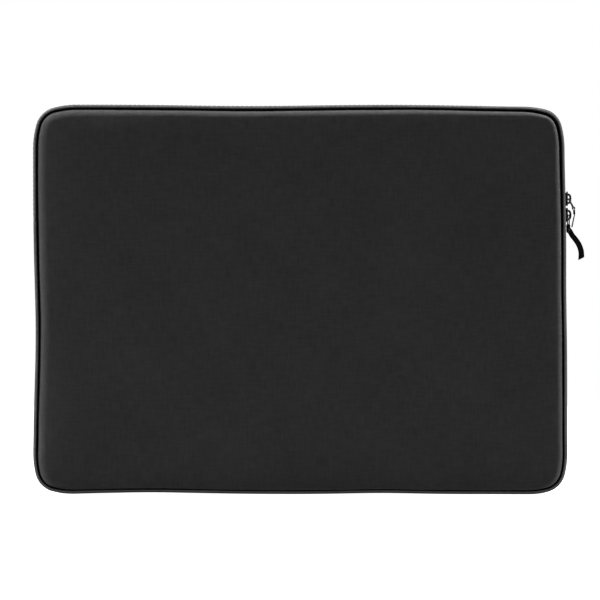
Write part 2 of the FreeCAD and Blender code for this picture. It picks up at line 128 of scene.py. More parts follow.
# The outline from the middle of the bottom, as lengths and the degrees each one turns
RUNS = [(FLAT / 2, 0)]
for straight in (SIDE, FLAT, SIDE, FLAT / 2):
    RUNS += [*CORNER_RUNS, (straight, 0)]
RUN_ENDS = np.cumsum([0.0] + [length for length, _ in RUNS])
HEADINGS = np.cumsum([0.0] + [turn for _, turn in RUNS])
PERIMETER = RUN_ENDS[-1]
TRACE_S = np.linspace(0, PERIMETER, TRACE_STEPS + 1)
TRACE_STEP = PERIMETER / TRACE_STEPS


def heading_at(s):
    """Direction of the outline at s, in radians from +x."""
    return np.radians(np.interp(np.mod(s, PERIMETER), RUN_ENDS, HEADINGS))


MIDDLES = heading_at((TRACE_S[1:] + TRACE_S[:-1]) / 2)
TRACE_X = np.concatenate([[0.0], np.cumsum(np.cos(MIDDLES)) * TRACE_STEP])
TRACE_Z = np.concatenate([[0.0], np.cumsum(np.sin(MIDDLES)) * TRACE_STEP])


def along(side, place):
    """s of a place: a height on the left or right side, an x on the top or bottom."""
    right = FLAT / 2 + CORNER_LENGTH
    top = right + SIDE + CORNER_LENGTH
    left = top + FLAT + CORNER_LENGTH
    return {
        "right": right + place - REACH,
        "top": top + FLAT / 2 - place,
        "left": left + HEIGHT - REACH - place,
        "bottom": place % PERIMETER,
    }[side]


def away_from(s, centre):
    """Signed distance round the outline from centre to s."""
    return np.mod(s - centre + PERIMETER / 2, PERIMETER) - PERIMETER / 2


def bumps(s, places):
    """Sum of bell-shaped bumps, given as (side, place, spread, height)."""
    return sum(
        height * np.exp(-((away_from(s, along(side, place)) / spread) ** 2) / 2)
        for side, place, spread, height in places
    )


def outline_at(s, inset):
    """x and z at s, an inset inwards."""
    turned = np.mod(s, PERIMETER)
    heading = heading_at(s)
    inwards = inset + bumps(s, DENTS)
    x = np.interp(turned, TRACE_S, TRACE_X) - np.sin(heading) * inwards
    z = np.interp(turned, TRACE_S, TRACE_Z) + np.cos(heading) * inwards
    return x, z


ZIP_START = along("right", RIGHT_END)
ZIP_STOP = along("left", LEFT_END)


# Noise runs to about 0.6 either way, and seeds lie this far apart in it. Each piece has a
# seed of its own, so that no two wander alike
NOISE_GAIN = 1.7
SEED_STEP = 5.3


def ring_wander(s, seed, scale):
    """Smooth noise round the outline, about -1 to 1, which meets itself."""
    angle = np.asarray(s) * (2 * math.pi / PERIMETER)
    size = PERIMETER / (2 * math.pi * scale)
    found = [
        noise.noise(Vector((math.cos(a) * size, math.sin(a) * size, seed * SEED_STEP)))
        for a in angle.ravel()
    ]
    return np.array(found).reshape(angle.shape) * NOISE_GAIN


def plane_wander(x, z, scale, seed):
    """Smooth noise over the sleeve's upright plane."""
    return np.array([noise.noise(Vector((a / scale, b / scale, seed))) for a, b in zip(x, z)])


# ---- Meshes


def unit(rows):
    """Rows of vectors, each made one long."""
    return rows / np.linalg.norm(rows, axis=1)[:, None]


def normals(line):
    """The unit vectors square to a flat line, on its right."""
    slope = np.gradient(line, axis=0)
    return unit(np.stack([slope[:, 1], -slope[:, 0]], axis=1))


def lengths_along(points):
    """Distance gone along each row of points, from its first."""
    steps = np.linalg.norm(np.diff(points, axis=-2), axis=-1)
    start = np.zeros(steps.shape[:-1] + (1,))
    return np.concatenate([start, np.cumsum(steps, axis=-1)], axis=-1)


def wrapped(rows):
    """Rows with their first column again at the end."""
    return np.concatenate([rows, rows[:, :1]], axis=1)


def smooth_line(points, count):
    """A smooth line through points, as count points evenly spaced along it."""
    p = np.asarray(points, float)
    steps = np.linalg.norm(np.diff(p, axis=0), axis=1)
    knots = np.concatenate([[0.0], np.cumsum(np.sqrt(steps))])
    slopes = np.gradient(p, knots, axis=0)
    t = np.linspace(0, knots[-1], 40 * len(p))
    k = np.clip(np.searchsorted(knots, t, side="right") - 1, 0, len(p) - 2)
    span = knots[k + 1] - knots[k]
    u = ((t - knots[k]) / span)[:, None]
    span = span[:, None]
    line = (
        (2 * u**3 - 3 * u**2 + 1) * p[k]
        + (u**3 - 2 * u**2 + u) * span * slopes[k]
        + (3 * u**2 - 2 * u**3) * p[k + 1]
        + (u**3 - u**2) * span * slopes[k + 1]
    )
    gone = lengths_along(line)
    even = np.linspace(0, gone[-1], count)
    return np.stack([np.interp(even, gone, line[:, c]) for c in range(p.shape[1])], axis=1)


def shown(name, mesh):
    """Puts a mesh in the scene, with smooth faces."""
    mesh.polygons.foreach_set("use_smooth", [True] * len(mesh.polygons))
    piece = bpy.data.objects.new(name, mesh)
    bpy.context.scene.collection.objects.link(piece)
    return piece


def spots_of(piece):
    """A piece's points as rows, in metres."""
    return np.array([v.co[:] for v in piece.data.vertices])


def move_spots(piece, spots):
    """Puts a piece's points at their new places."""
    piece.data.vertices.foreach_set("co", spots.ravel())
    piece.data.update()


def new_piece(name, points, faces, uv=None, merge=0.0, rounding=0.0):
    """An object from points in millimetres, with smooth faces and a UV map in metres. merge
    is how close two points are one, and rounding is the radius of its edges."""
    mesh = bpy.data.meshes.new(name)
    mesh.from_pydata((np.asarray(points) * MM).tolist(), [], faces)
    if uv is not None:
        layer = mesh.uv_layers.new(name="surface")
        layer.data.foreach_set("uv", (np.asarray(uv) * MM).astype(np.float32).ravel())
    shape = bmesh.new()
    shape.from_mesh(mesh)
    if merge:
        bmesh.ops.remove_doubles(shape, verts=shape.verts, dist=merge * MM)
    bmesh.ops.recalc_face_normals(shape, faces=shape.faces)
    if rounding:
        bmesh.ops.bevel(shape, geom=shape.edges[:] + shape.verts[:], offset=rounding * MM,
                        segments=3, profile=0.5, affect="EDGES", clamp_overlap=True)
    shape.to_mesh(mesh)
    shape.free()
    return shown(name, mesh)


def grid_faces(rows, columns, closed_rows, closed_columns):
    """Quads of a grid of points, and each corner's row and column before it wraps."""
    faces, corners = [], []
    for r in range(rows if closed_rows else rows - 1):
        for c in range(columns if closed_columns else columns - 1):
            square = [(r, c), (r, c + 1), (r + 1, c + 1), (r + 1, c)]
            faces.append([(a % rows) * columns + b % columns for a, b in square])
            corners += square
    return faces, corners


def grid_piece(name, points, u, v, closed_rows=False, closed_columns=False, capped=False,
               merge=0.0):
    """A piece from rows and columns of points. u and v are each corner's place in the
    cloth; where the grid is closed they have one more row or column than points. With
    capped, each row is a closed section whose second half runs back beside its first,
    and the first and last rows are filled."""
    rows, columns = points.shape[:2]
    faces, corners = grid_faces(rows, columns, closed_rows, closed_columns)
    uv = [(u[r, c], v[r, c]) for r, c in corners]
    if capped:
        half = columns // 2
        for row in (0, rows - 1):
            for c in range(half - 1):
                strip = [c, c + 1, columns - 2 - c, columns - 1 - c]
                faces.append([row * columns + i for i in strip])
                uv += [(u[row, i], v[row, i]) for i in strip]
    return new_piece(name, points.reshape(-1, 3), faces, uv, merge)


def closed_up(u, v, length):
    """Rows of u and v with their first again at the end, a length further on in u."""
    return np.concatenate([u, u[:1] + length]), np.concatenate([v, v[:1]])


def swept(name, s, sections, closed=False):
    """A closed section (rows of inset and y) carried round the outline at each s."""
    x, z = outline_at(s[:, None], sections[..., 0])
    points = np.stack([x, sections[..., 1], z], axis=-1)
    v = lengths_along(wrapped(sections))
    u = np.repeat(s[:, None], v.shape[1], axis=1)
    if closed:
        u, v = closed_up(u, v, PERIMETER)
    return grid_piece(name, points, u, v, closed, True, capped=not closed)


def two_sided(outer, inner, count):
    """A closed section of twice count points from its outer line and its inner line,
    both given from the same end."""
    there = smooth_line(outer, count)
    back = smooth_line(inner, count)[::-1]
    return np.concatenate([there, back])


def tuck_ends(s, sections, length, least):
    """Thins a band towards its ends, as cloth does where it is sewn across."""
    middle = (sections + sections[:, ::-1]) / 2
    gone = np.minimum(s - s[0], s[-1] - s)
    share = np.clip(gone / length, 0, 1)
    keep = least + (1 - least) * np.sqrt(1 - (1 - share) ** 2)
    return middle + (sections - middle) * keep[:, None, None]


def steps_between(start, stop, step, end_step=0.35, ends=6):
    """Places from start to stop, closer together at both ends."""
    near = np.cumsum(np.linspace(end_step, step, ends))
    inner = np.linspace(start + near[-1], stop - near[-1],
                        int((stop - start - 2 * near[-1]) / step) + 1)
    return np.concatenate([[start], start + near[:-1], inner, stop - near[-2::-1], [stop]])


def tube(name, line, radius, sides, up, closed=False):
    """A round tube along a line of points, with an even number of sides. up is a direction
    it is never parallel to, one for all or one for each point; so is radius."""
    line = np.asarray(line, float)
    if closed:
        around = np.concatenate([line[-1:], line, line[:1]])
        tangent = around[2:] - around[:-2]
    else:
        tangent = np.gradient(line, axis=0)
    tangent = unit(tangent)
    across = unit(np.cross(tangent, np.broadcast_to(up, line.shape)))
    out = np.cross(tangent, across)
    angle = np.arange(sides) * 2 * math.pi / sides
    r = np.broadcast_to(radius, (len(line),))[:, None, None]
    points = (
        line[:, None]
        + across[:, None] * np.cos(angle)[None, :, None] * r
        + out[:, None] * np.sin(angle)[None, :, None] * r
    )
    gone = lengths_along(line)
    u = np.repeat(gone[:, None], sides + 1, axis=1)
    turned = np.arange(sides + 1)[None] * 2 * math.pi / sides
    v = np.repeat(turned, len(line), axis=0) * r[0, 0, 0]
    if closed:
        u, v = closed_up(u, v, gone[-1])
    return grid_piece(name, points, u, v, closed, True, capped=not closed)


def joined(name, pieces):
    """One object from several."""
    mesh = bpy.data.meshes.new(name)
    shape = bmesh.new()
    for piece in pieces:
        shape.from_mesh(piece.data)
    shape.to_mesh(mesh)
    shape.free()
    for piece in pieces:
        old = piece.data
        bpy.data.objects.remove(piece)
        bpy.data.meshes.remove(old)
    return shown(name, mesh)


# ---- Materials


class Nodes:
    """Builds a material's nodes: each call adds one and returns its output."""

    def __init__(self, name):
        self.material = bpy.data.materials.new(name)
        self.material.use_nodes = True
        self.tree = self.material.node_tree
        self.shader = self.tree.nodes["Principled BSDF"]

    def node(self, kind, inputs=None, **settings):
        """Adds a node with its settings and feeds its inputs."""
        made = self.tree.nodes.new(kind)
        for key, value in settings.items():
            setattr(made, key, value)
        for key, value in (inputs or {}).items():
            self.feed(made.inputs[key], value)
        return made

    def feed(self, socket, value):
        """Links a node's output to a socket, or sets the socket to a value."""
        if isinstance(value, bpy.types.NodeSocket):
            self.tree.links.new(value, socket)
        else:
            socket.default_value = value

    def maths(self, operation, *values):
        """Arithmetic on values, each an output or a number."""
        given = dict(enumerate(values))
        return self.node("ShaderNodeMath", given, operation=operation).outputs[0]

    def surface(self):
        """The cloth's own two coordinates, in metres."""
        at = self.node("ShaderNodeUVMap", uv_map="surface").outputs[0]
        parts = self.node("ShaderNodeSeparateXYZ", {0: at})
        return at, parts.outputs[0], parts.outputs[1]

    def place(self):
        """Position on the piece, in metres."""
        return self.node("ShaderNodeTexCoord").outputs["Object"]

    def noise(self, at, per_metre, detail=3.0, roughness=0.5):
        """Noise from 0 to 1, with per_metre lumps in a metre."""
        inputs = {"Vector": at, "Scale": per_metre, "Detail": detail, "Roughness": roughness}
        return self.node("ShaderNodeTexNoise", inputs).outputs["Fac"]

    def multiplied(self, vector, factor):
        """A vector or colour times another, part by part."""
        given = {0: vector, 1: factor}
        return self.node("ShaderNodeVectorMath", given, operation="MULTIPLY").outputs[0]

    def streaks(self, at, stretch):
        """Noise drawn out along one direction of the cloth, like uneven yarns."""
        return self.noise(self.multiplied(at, stretch), YARNS_PER_METRE, 1.0)

    def stripes(self, coordinate, pitch):
        """A wave from 0 to 1 along a coordinate, one for each pitch in metres."""
        turned = self.maths("MULTIPLY", coordinate, 2 * math.pi / pitch)
        return self.maths("MULTIPLY_ADD", self.maths("COSINE", turned), 0.5, 0.5)

    def ramp(self, value, *stops):
        """Greys at places along a value: each stop is a place and a grey."""
        made = self.node("ShaderNodeValToRGB", {0: value})
        elements = made.color_ramp.elements
        while len(elements) < len(stops):
            elements.new(0.5)
        for element, (where, grey) in zip(elements, stops):
            element.position = where
            element.color = (grey, grey, grey, 1.0)
        return made.outputs[0]

    def relief(self, height, distance, strength=1.0, over=None):
        """Fine relief in the surface, distance metres high, over other relief if given."""
        inputs = {"Height": height, "Distance": distance, "Strength": strength}
        if over is not None:
            inputs["Normal"] = over
        return self.node("ShaderNodeBump", inputs).outputs[0]

    def finish(self, **values):
        """Feeds the shader's inputs, named with _ for a space, and returns the material."""
        for name, value in values.items():
            self.feed(self.shader.inputs[name.replace("_", " ")], value)
        return self.material


# The knit's columns and rows of stitches, and half the width of the gusset's and strips'
# own cloth, in metres
WALE, COURSE = 0.00085, 0.0006
HALF_STRIP = 0.0177
YARNS_PER_METRE = 620.0
KNIT_SHINE = 0.04
KNIT_FUZZ, WOVEN_FUZZ = 0.28, 0.4


def knit_material(name, tone, sheen, folded=None):
    """Fine jersey: columns of V stitches, fuzzy, with slightly uneven dye. The last argument is
    how much lighter a painted highlight makes it along a strip's folded edge, where side light falls."""
    n = Nodes(name)
    at, u, v = n.surface()
    drift = n.noise(at, 120.0)
    along_v = n.maths("MULTIPLY_ADD", drift, COURSE, v)
    column = n.maths("PINGPONG", n.maths("DIVIDE", u, WALE), 0.5)
    leg = n.maths("MULTIPLY_ADD", column, COURSE * 1.6, along_v)
    loops = n.stripes(leg, COURSE)
    valley = n.maths("SMOOTH_MIN", n.maths("MULTIPLY", column, 6.0), 1.0, 0.4)
    crown = n.maths("MULTIPLY", loops, valley)
    fuzz = n.noise(at, 5200.0, 2.0, 0.7)
    height = n.maths("MULTIPLY_ADD", fuzz, 0.35, crown)
    soft = n.noise(at, 45.0, 4.0, 0.6)
    normal = n.relief(soft, 0.0006, 0.35)
    normal = n.relief(height, 0.00012, 0.55, over=normal)
    dye = n.noise(at, 18.0, 5.0, 0.65)
    yarns = n.maths("ADD", n.streaks(at, (1.0, 0.16, 1.0)), n.streaks(at, (0.16, 1.0, 1.0)))
    mixed = n.maths("MULTIPLY_ADD", yarns, 0.35, n.maths("MULTIPLY", dye, 0.3))
    colour = n.ramp(mixed, (0.35, tone * 0.79), (0.65, tone * 1.21))
    # Painted highlight: a lighter stripe along the strip's folded edge, where the side lights catch it.
    if folded:
        from_edge = n.maths("DIVIDE", n.maths("PINGPONG", v, HALF_STRIP), HALF_STRIP)
        painted_highlight = n.ramp(from_edge, (0.18, 1.0), (0.25, folded), (0.35, folded), (0.41, 1.0))
        colour = n.multiplied(colour, painted_highlight)
    rough = n.maths("MULTIPLY_ADD", fuzz, 0.1, 0.85)
    return n.finish(Base_Color=colour, Roughness=rough, Normal=normal, Sheen_Weight=sheen,
                    Sheen_Roughness=KNIT_FUZZ, Specular_IOR_Level=KNIT_SHINE)


def woven_material(name, tone, warp, weft, sheen=0.05, slant=0.0, shine=0.2):
    """Plain or twill weave: threads of two pitches that pass over each other."""
    n = Nodes(name)
    at, u, v = n.surface()
    leaning = n.maths("MULTIPLY_ADD", v, slant, u)
    over = n.maths("MULTIPLY", n.stripes(leaning, warp), n.stripes(v, weft))
    under = n.stripes(n.maths("ADD", leaning, warp / 2), warp)
    under = n.maths("MULTIPLY", under, n.stripes(n.maths("ADD", v, weft / 2), weft))
    weave = n.maths("MAXIMUM", over, under)
    fuzz = n.noise(at, 6000.0, 2.0)
    height = n.maths("MULTIPLY_ADD", fuzz, 0.25, weave)
    colour = n.ramp(height, (0.1, tone * 0.6), (0.9, tone * 1.35))
    rough = n.maths("MULTIPLY_ADD", fuzz, 0.15, 0.6)
    normal = n.relief(height, 0.0001, 0.7)
    return n.finish(Base_Color=colour, Roughness=rough, Normal=normal, Sheen_Weight=sheen,
                    Sheen_Roughness=WOVEN_FUZZ, Specular_IOR_Level=shine)


def thread_material(name, tone):
    """Sewing thread: two plies twisted together."""
    n = Nodes(name)
    at, u, v = n.surface()
    ply = n.stripes(n.maths("MULTIPLY_ADD", v, 0.8, u), 0.0005)
    fuzz = n.noise(at, 8000.0, 2.0)
    colour = n.ramp(n.maths("MULTIPLY_ADD", fuzz, 0.4, n.maths("MULTIPLY", ply, 0.6)),
                    (0.1, tone * 0.6), (0.9, tone * 1.4))
    return n.finish(Base_Color=colour, Roughness=0.5, Normal=n.relief(ply, 0.00005, 0.8),
                    Specular_IOR_Level=0.05)


def gloss_material(name, tone, roughness, grain, shine):
    """Moulded nylon or enamelled metal: faint orange peel, smears and rubbed edges."""
    n = Nodes(name)
    at = n.place()
    peel = n.noise(at, grain, 2.0)
    smears = n.noise(at, grain * 0.12, 4.0, 0.6)
    rough = n.ramp(smears, (0.3, roughness * 0.75), (0.75, min(1.0, roughness * 1.5)))
    edges = n.node("ShaderNodeNewGeometry").outputs["Pointiness"]
    worn = n.ramp(edges, (0.5, tone), (0.62, tone * 2.2 + 0.004))
    return n.finish(Base_Color=worn, Roughness=rough, Normal=n.relief(peel, 0.00002, 0.3),
                    Specular_IOR_Level=shine)


def floor_material():
    """A lit table: it glows white, and throws little of the top light up at the sleeve."""
    n = Nodes("pale_floor")
    speckle = n.noise(n.place(), 300.0)
    colour = n.ramp(speckle, (0.2, 0.13), (0.8, 0.15))
    return n.finish(Base_Color=colour, Roughness=0.9, Specular_IOR_Level=0.1,
                    Emission_Color=(1.0, 1.0, 1.0, 1.0), Emission_Strength=1.0)


# The seam's knit: near black and without sheen, a painted shade for the dark groove between the panel and the
# gusset.
SEAM_SHADE_KNIT = knit_material("knit_painted_seam_shade", 0.0012, 0.0)
# The gusset's and strips' knit: copies of the cover's knit darkened with painted shade, with a painted highlight
# along their folded edges where the side lights fall.
GUSSET_KNIT_PAINTED_LIGHT = knit_material("gusset_knit_painted_shade_and_highlight", 0.0045, 0.025, folded=10.0)
STRIP_KNIT_PAINTED_LIGHT = knit_material("strip_knit_painted_shade_and_highlight", 0.0035, 0.02, folded=11.0)
MATERIALS = {
    "knit_cover": knit_material("fine_dark_knit", 0.013, 0.072),
    "lining": woven_material("smooth_lining", 0.035, 0.0005, 0.0005, sheen=0.12),
    "foam": knit_material("foam_backing", 0.03, 0.05),
    "zip_tape": woven_material("zip_tape_weave", 0.006, 0.0009, 0.0006, sheen=0.01, slant=0.6,
                               shine=0.0),
    "zip_coil": gloss_material("nylon_coil", 0.005, 0.34, 900.0, 0.08),
    "slider_metal": gloss_material("black_enamel", 0.0015, 0.12, 700.0, 0.05),
    "ring_wire": gloss_material("black_wire", 0.0015, 0.15, 700.0, 0.05),
    "ribbon": woven_material("ribbon_weave", 0.0007, 0.0004, 0.0007, sheen=0.0, shine=0.0),
    "thread": thread_material("sewing_thread", 0.005),
    "binding": woven_material("binding_weave", 0.01, 0.0006, 0.0006, sheen=0.02, shine=0.04),
}


def dress(piece, slot, *nodes, look=None):
    """Gives a piece its material and says which nodes it stands for."""
    piece.data.materials.clear()
    piece.data.materials.append(look or MATERIALS[slot])
    # Knit pieces get a second slot, the near black knit with painted shade for their faces in the seam.
    if slot == "knit_cover":
        piece.data.materials.append(SEAM_SHADE_KNIT)
    if nodes:
        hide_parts(*nodes)


def hold(piece, side):
    """Bakes a front piece's placing into its points; a back piece is attached to the sleeve's body."""
    if side == FRONT:
        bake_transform(piece)
    else:
        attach(piece, "sleeve")


def split_nodes(label, layer):
    """The nodes of a layer that runs over the top: the front's is split at the fold."""
    ends = ("", "_left_end", "_right_end") if label == "front" else ("",)
    return [f"{label}_{layer}{end}" for end in ends]


def panel_nodes(side, layer):
    """The nodes of a layer that covers a whole panel, split in the same way."""
    parts = ("lower_front", "upper_front") if side == FRONT else ("back",)
    return [f"{part}_{layer}" for part in parts]


# ---- Panels

# Points round the panel
AROUND = 520
# Length of the panel's middle line as a share of its width
SPINE_SHARE = 0.275
# Depth at which the rolled edge is widest
ROLL_BASE = 9.0
# From the panel's underside round its seam to where its edge is widest: inset from the
# panel's edge, and depth
SEAM_FOLD = [
    (4.2, 10.45), (2.6, 9.6), (1.6, 7.6), (0.8, 5.9), (-0.6, 5.5), (-0.9, 5.7), (-0.3, 6.4),
    (0.0, 7.4), (0.02, 8.3),
]
# How far the face rises towards its middle, and how it drops again at its shoulder
CROWN = 0.35
SHOULDER, SHOULDER_SHARE = 0.55, 0.07
# Where the panel sits closer to the gusset, all along the bottom, and how much
TIGHT_SEAM = 0.75
TIGHT_PLACES = [("bottom", 0.0, 95.0, 1.0), ("bottom", 120.0, 45.0, 1.0),
                ("bottom", -120.0, 45.0, 1.0)]
# Where it stands further off
OPEN_SEAM = [("top", 189.0, 16.0, 0.25)]
# Slow wander of the edge and of the face by it, in millimetres, and the gathers' height
EDGE_WANDER, DEPTH_WANDER, GATHER = 0.16, 0.12, 0.16
# The face's slack: how wide each wave is, its height and its seed's step, and the share of
# the way in over which it starts
SLACK = [(95, 0.45, 0), (38, 0.16, 9)]
SLACK_SHARE = 0.05
# Creases that the seam pulls into the face: side, place, spread and depth, and the share of
# the way in that they reach
CREASES = [
    ("top", -153.0, 2.0, 0.22), ("top", -148.0, 2.0, 0.14), ("top", -50.0, 2.0, 0.12),
    ("top", 27.0, 2.0, 0.2), ("top", 36.0, 2.0, 0.12), ("bottom", -163.0, 2.0, 0.22),
    ("bottom", -138.0, 2.0, 0.2), ("bottom", -121.0, 2.0, 0.2), ("bottom", -112.0, 2.0, 0.12),
    ("right", 60.0, 2.0, 0.12),
]
CREASE_SHARE = 0.09
# How wide the panel's rolled edge is: side, place, width
ROLLS = [
    ("bottom", 0.0, 3.0),
    ("right", 60.0, 4.4),
    ("right", 235.0, 4.0),
    ("right", 264.0, 3.2),
    ("top", 189.0, 2.5),
    ("top", 166.0, 3.4),
    ("top", 100.0, 4.2),
    ("top", -100.0, 5.2),
    ("left", 230.0, 7.4),
    ("left", 60.0, 7.6),
]
# Rings of points, as shares of the way from the edge to the middle line
UNDERSIDE = [1.0, 0.85, 0.65, 0.45, 0.25, 0.1, 0.03, 0.0]
UNDERSIDE_INSET, UNDERSIDE_DEPTH = 4.5, 10.5
FACE = [0.012, 0.03, 0.055, 0.09, 0.13, 0.18, 0.24, 0.31, 0.39, 0.48, 0.58, 0.7, 0.84, 1.0]
ROLL_STEPS = 10
# Points closer than this are one, in millimetres
MERGE = 0.02


def round_places(count):
    """Evenly spaced places all round the outline."""
    return np.arange(count) * PERIMETER / count


def roll_width(s):
    """Width of the rolled edge at s."""
    places = [along(side, place) for side, place, _ in ROLLS]
    order = np.argsort(places)
    at = np.array(places)[order]
    widths = np.array([width for _, _, width in ROLLS])[order]
    return np.interp(s, at, widths, period=PERIMETER)


def towards_spine(s, inset, share):
    """x and z on the way from the outline's inset to the panel's middle line."""
    x, z = outline_at(s, inset)
    spine_x = np.interp(np.mod(s, PERIMETER), TRACE_S, TRACE_X) * SPINE_SHARE
    return x + (spine_x - x) * share, z + (HEIGHT / 2 - z) * share


def puckers(s, seed):
    """Small gathers that the seam draws into the knit, stronger in places."""
    fine = ring_wander(s, seed, 9.0) + 0.5 * ring_wander(s, seed + 1, 4.5)
    where = 0.45 + 0.55 * np.clip(ring_wander(s, seed + 2, 60.0) + 0.2, 0, 1)
    return fine * where


def panel(name, side, seed):
    """One padded panel: flat underside, a seam, a rolled edge and a softly crowned face."""
    s = round_places(AROUND)
    roll = roll_width(s)
    gather = puckers(s, seed)
    slow = ring_wander(s, seed + 5, 34.0)
    rings = []

    def ring(inset, depth, share=0.0, laid_inset=None):
        """Adds a ring of points, and where each lies in the cloth before it is rolled."""
        x, z = towards_spine(s, inset, share)
        flat_x, flat_z = towards_spine(s, inset if laid_inset is None else laid_inset, share)
        rings.append((x, np.broadcast_to(depth, s.shape), z, flat_x, flat_z))

    for share in UNDERSIDE:
        ring(PANEL_EDGE + UNDERSIDE_INSET, UNDERSIDE_DEPTH, share)
    pulled = bumps(s, CREASES)
    rise = FACE_DEPTH - SHOULDER - ROLL_BASE + slow * DEPTH_WANDER
    tight = np.clip(bumps(s, TIGHT_PLACES), 0, 1)
    edge = PANEL_EDGE - TIGHT_SEAM * tight + bumps(s, OPEN_SEAM) + slow * EDGE_WANDER
    profile = [(edge + out, depth) for out, depth in SEAM_FOLD]
    for step in range(ROLL_STEPS + 1):
        lift = math.pi / 2 * step / ROLL_STEPS
        fade = math.sin(lift * 2) * GATHER
        inset = edge + roll * (1 - math.cos(lift)) + gather * fade * 0.5
        drop = gather * fade - pulled * math.sin(lift)
        profile.append((inset, ROLL_BASE + rise * math.sin(lift) + drop))
    insets = np.array([np.broadcast_to(inset, s.shape) for inset, _ in profile])
    depths = np.array([np.broadcast_to(depth, s.shape) for _, depth in profile])
    steps = np.hypot(np.diff(insets, axis=0), np.diff(depths, axis=0))
    flats = insets[-1] - np.concatenate([np.cumsum(steps[::-1], axis=0)[::-1], steps[:1] * 0])
    for inset, depth, flat in zip(insets, depths, flats):
        ring(inset, depth, laid_inset=flat)
    end = insets[-1]
    for share in FACE:
        x, z = towards_spine(s, end, share)
        wave = sum(plane_wander(x, z, scale, seed + step) * height for scale, height, step in SLACK)
        fade = math.exp(-share / SLACK_SHARE)
        depth = FACE_DEPTH + CROWN * (1 - (1 - share) ** 3) + wave * (1 - fade)
        depth -= SHOULDER * math.exp(-share / SHOULDER_SHARE)
        depth -= pulled * math.exp(-((share / CREASE_SHARE) ** 2))
        ring(end, depth + slow * DEPTH_WANDER * fade, share)
    table = np.array(rings)
    points = np.stack([table[:, 0], table[:, 1] * side, table[:, 2]], axis=-1)
    u, v = wrapped(table[:, 3]), wrapped(table[:, 4])
    return grid_piece(name, points, u, v, closed_columns=True, merge=MERGE)


def paint_seam_shade(piece, in_seam):
    """Gives the faces that lie in a seam the near black knit with painted shade for the groove."""
    for face in piece.data.polygons:
        if in_seam(face):
            face.material_index = 1


# Depth below which a panel's cover lies in its seam, where it takes the painted seam shade
SEAM_DEPTH = 8.6
# The foam's pressure on the knit, how long it acts, and the most that it may move a point
PRESSURE, SIM_FRAMES, SWELL_CAP = 1.2, 18, 0.3
# How firmly the knit is held on its roll, and the depth from which, and over which, it
# comes to be held fast on the face
ROLL_HOLD, FACE_HOLD_START, FACE_HOLD_FADE = 0.05, 13.0, 1.6
CLOTH = dict(quality=4, mass=0.2, tension_stiffness=12.0, compression_stiffness=12.0,
             shear_stiffness=4.0, bending_stiffness=8.0, use_pressure=True,
             uniform_pressure_force=PRESSURE, vertex_group_mass="held", pin_stiffness=1.0)


def stuffed(piece):
    """Lets the foam press the roll outwards. The knit is held in its seam and on its face."""
    rest = spots_of(piece)
    held = piece.vertex_groups.new(name="held")
    for vertex in piece.data.vertices:
        depth = abs(vertex.co.y) / MM
        face = min(max((depth - FACE_HOLD_START) / FACE_HOLD_FADE, 0.0), 1.0)
        hold_share = 1.0 if depth < ROLL_BASE else ROLL_HOLD + (1 - ROLL_HOLD) * face
        held.add([vertex.index], hold_share, "REPLACE")
    cloth = piece.modifiers.new("foam_pressure", "CLOTH")
    for name, value in CLOTH.items():
        setattr(cloth.settings, name, value)
    cloth.settings.effector_weights.gravity = 0.0
    cloth.collision_settings.use_collision = False
    cloth.point_cache.frame_end = SIM_FRAMES
    for frame_number in range(1, SIM_FRAMES + 1):
        bpy.context.scene.frame_set(frame_number)
    ready = piece.evaluated_get(bpy.context.evaluated_depsgraph_get())
    moved = spots_of(ready) - rest
    piece.modifiers.remove(cloth)
    piece.vertex_groups.remove(held)
    bpy.context.scene.frame_set(1)
    gone = np.linalg.norm(moved, axis=1, keepdims=True)
    scale = SWELL_CAP * MM * np.tanh(gone / (SWELL_CAP * MM)) / np.maximum(gone, 1e-9)
    move_spots(piece, rest + moved * scale)


PANEL_SEEDS = {FRONT: 1, BACK: 21}
panels = {}
for side, label in SIDES:
    panels[side] = panel(f"{label}_panel", side, PANEL_SEEDS[side])
    stuffed(panels[side])
    dress(panels[side], "knit_cover", *panel_nodes(side, "cover"), *panel_nodes(side, "padding"))
    paint_seam_shade(panels[side], lambda face: abs(face.center.y) < SEAM_DEPTH * MM)

# The lining's inset from the panel's edge and the depths of its two faces, in millimetres,
# and how slack it is and over what distance
LINING_INSET = 1.4
LINING_DEPTHS = (10.35, 9.85)
LINING_SLACK, LINING_WAVE = 0.12, 30
LINING_SHARES = [1.0, 0.84, 0.68, 0.52, 0.38, 0.26, 0.16, 0.08, 0.03, 0.0]


def panel_lining(name, side, seed):
    """The thin lining that faces the laptop, slack by a hair."""
    s = round_places(AROUND // 2)
    rings = []
    for level, order in zip(LINING_DEPTHS, (LINING_SHARES, LINING_SHARES[::-1])):
        for share in order:
            x, z = towards_spine(s, PANEL_EDGE + LINING_INSET, share)
            depth = level + plane_wander(x, z, LINING_WAVE, seed) * LINING_SLACK
            rings.append((x, depth * side, z))
    points = np.transpose(np.array(rings), (0, 2, 1))
    u, v = wrapped(points[..., 0]), wrapped(points[..., 2])
    return grid_piece(name, points, u, v, closed_columns=True, merge=MERGE)


# ---- Gusset and zip strips

# Distance between a band's rows of points
BAND_STEP = 2.0
# How far a band's bulges wander, and the depth from which, and over which, they grow
BULGE_WANDER, BULGE_FROM, BULGE_OVER = 0.22, 7.5, 3.0
# How long and how thin its sewn ends are, and the gap between two bands' ends
TUCK_LENGTH, TUCK_LEAST = 0.8, 0.85
SEAM_GAP = 0.05
# Depth from which, and over which, an eased strip comes away from the zip
LOOSE_FROM, LOOSE_OVER = 5.8, 1.7
# Inset beyond which a band lies in its seam, where it takes the painted seam shade
SEAM_INSET = 2.27
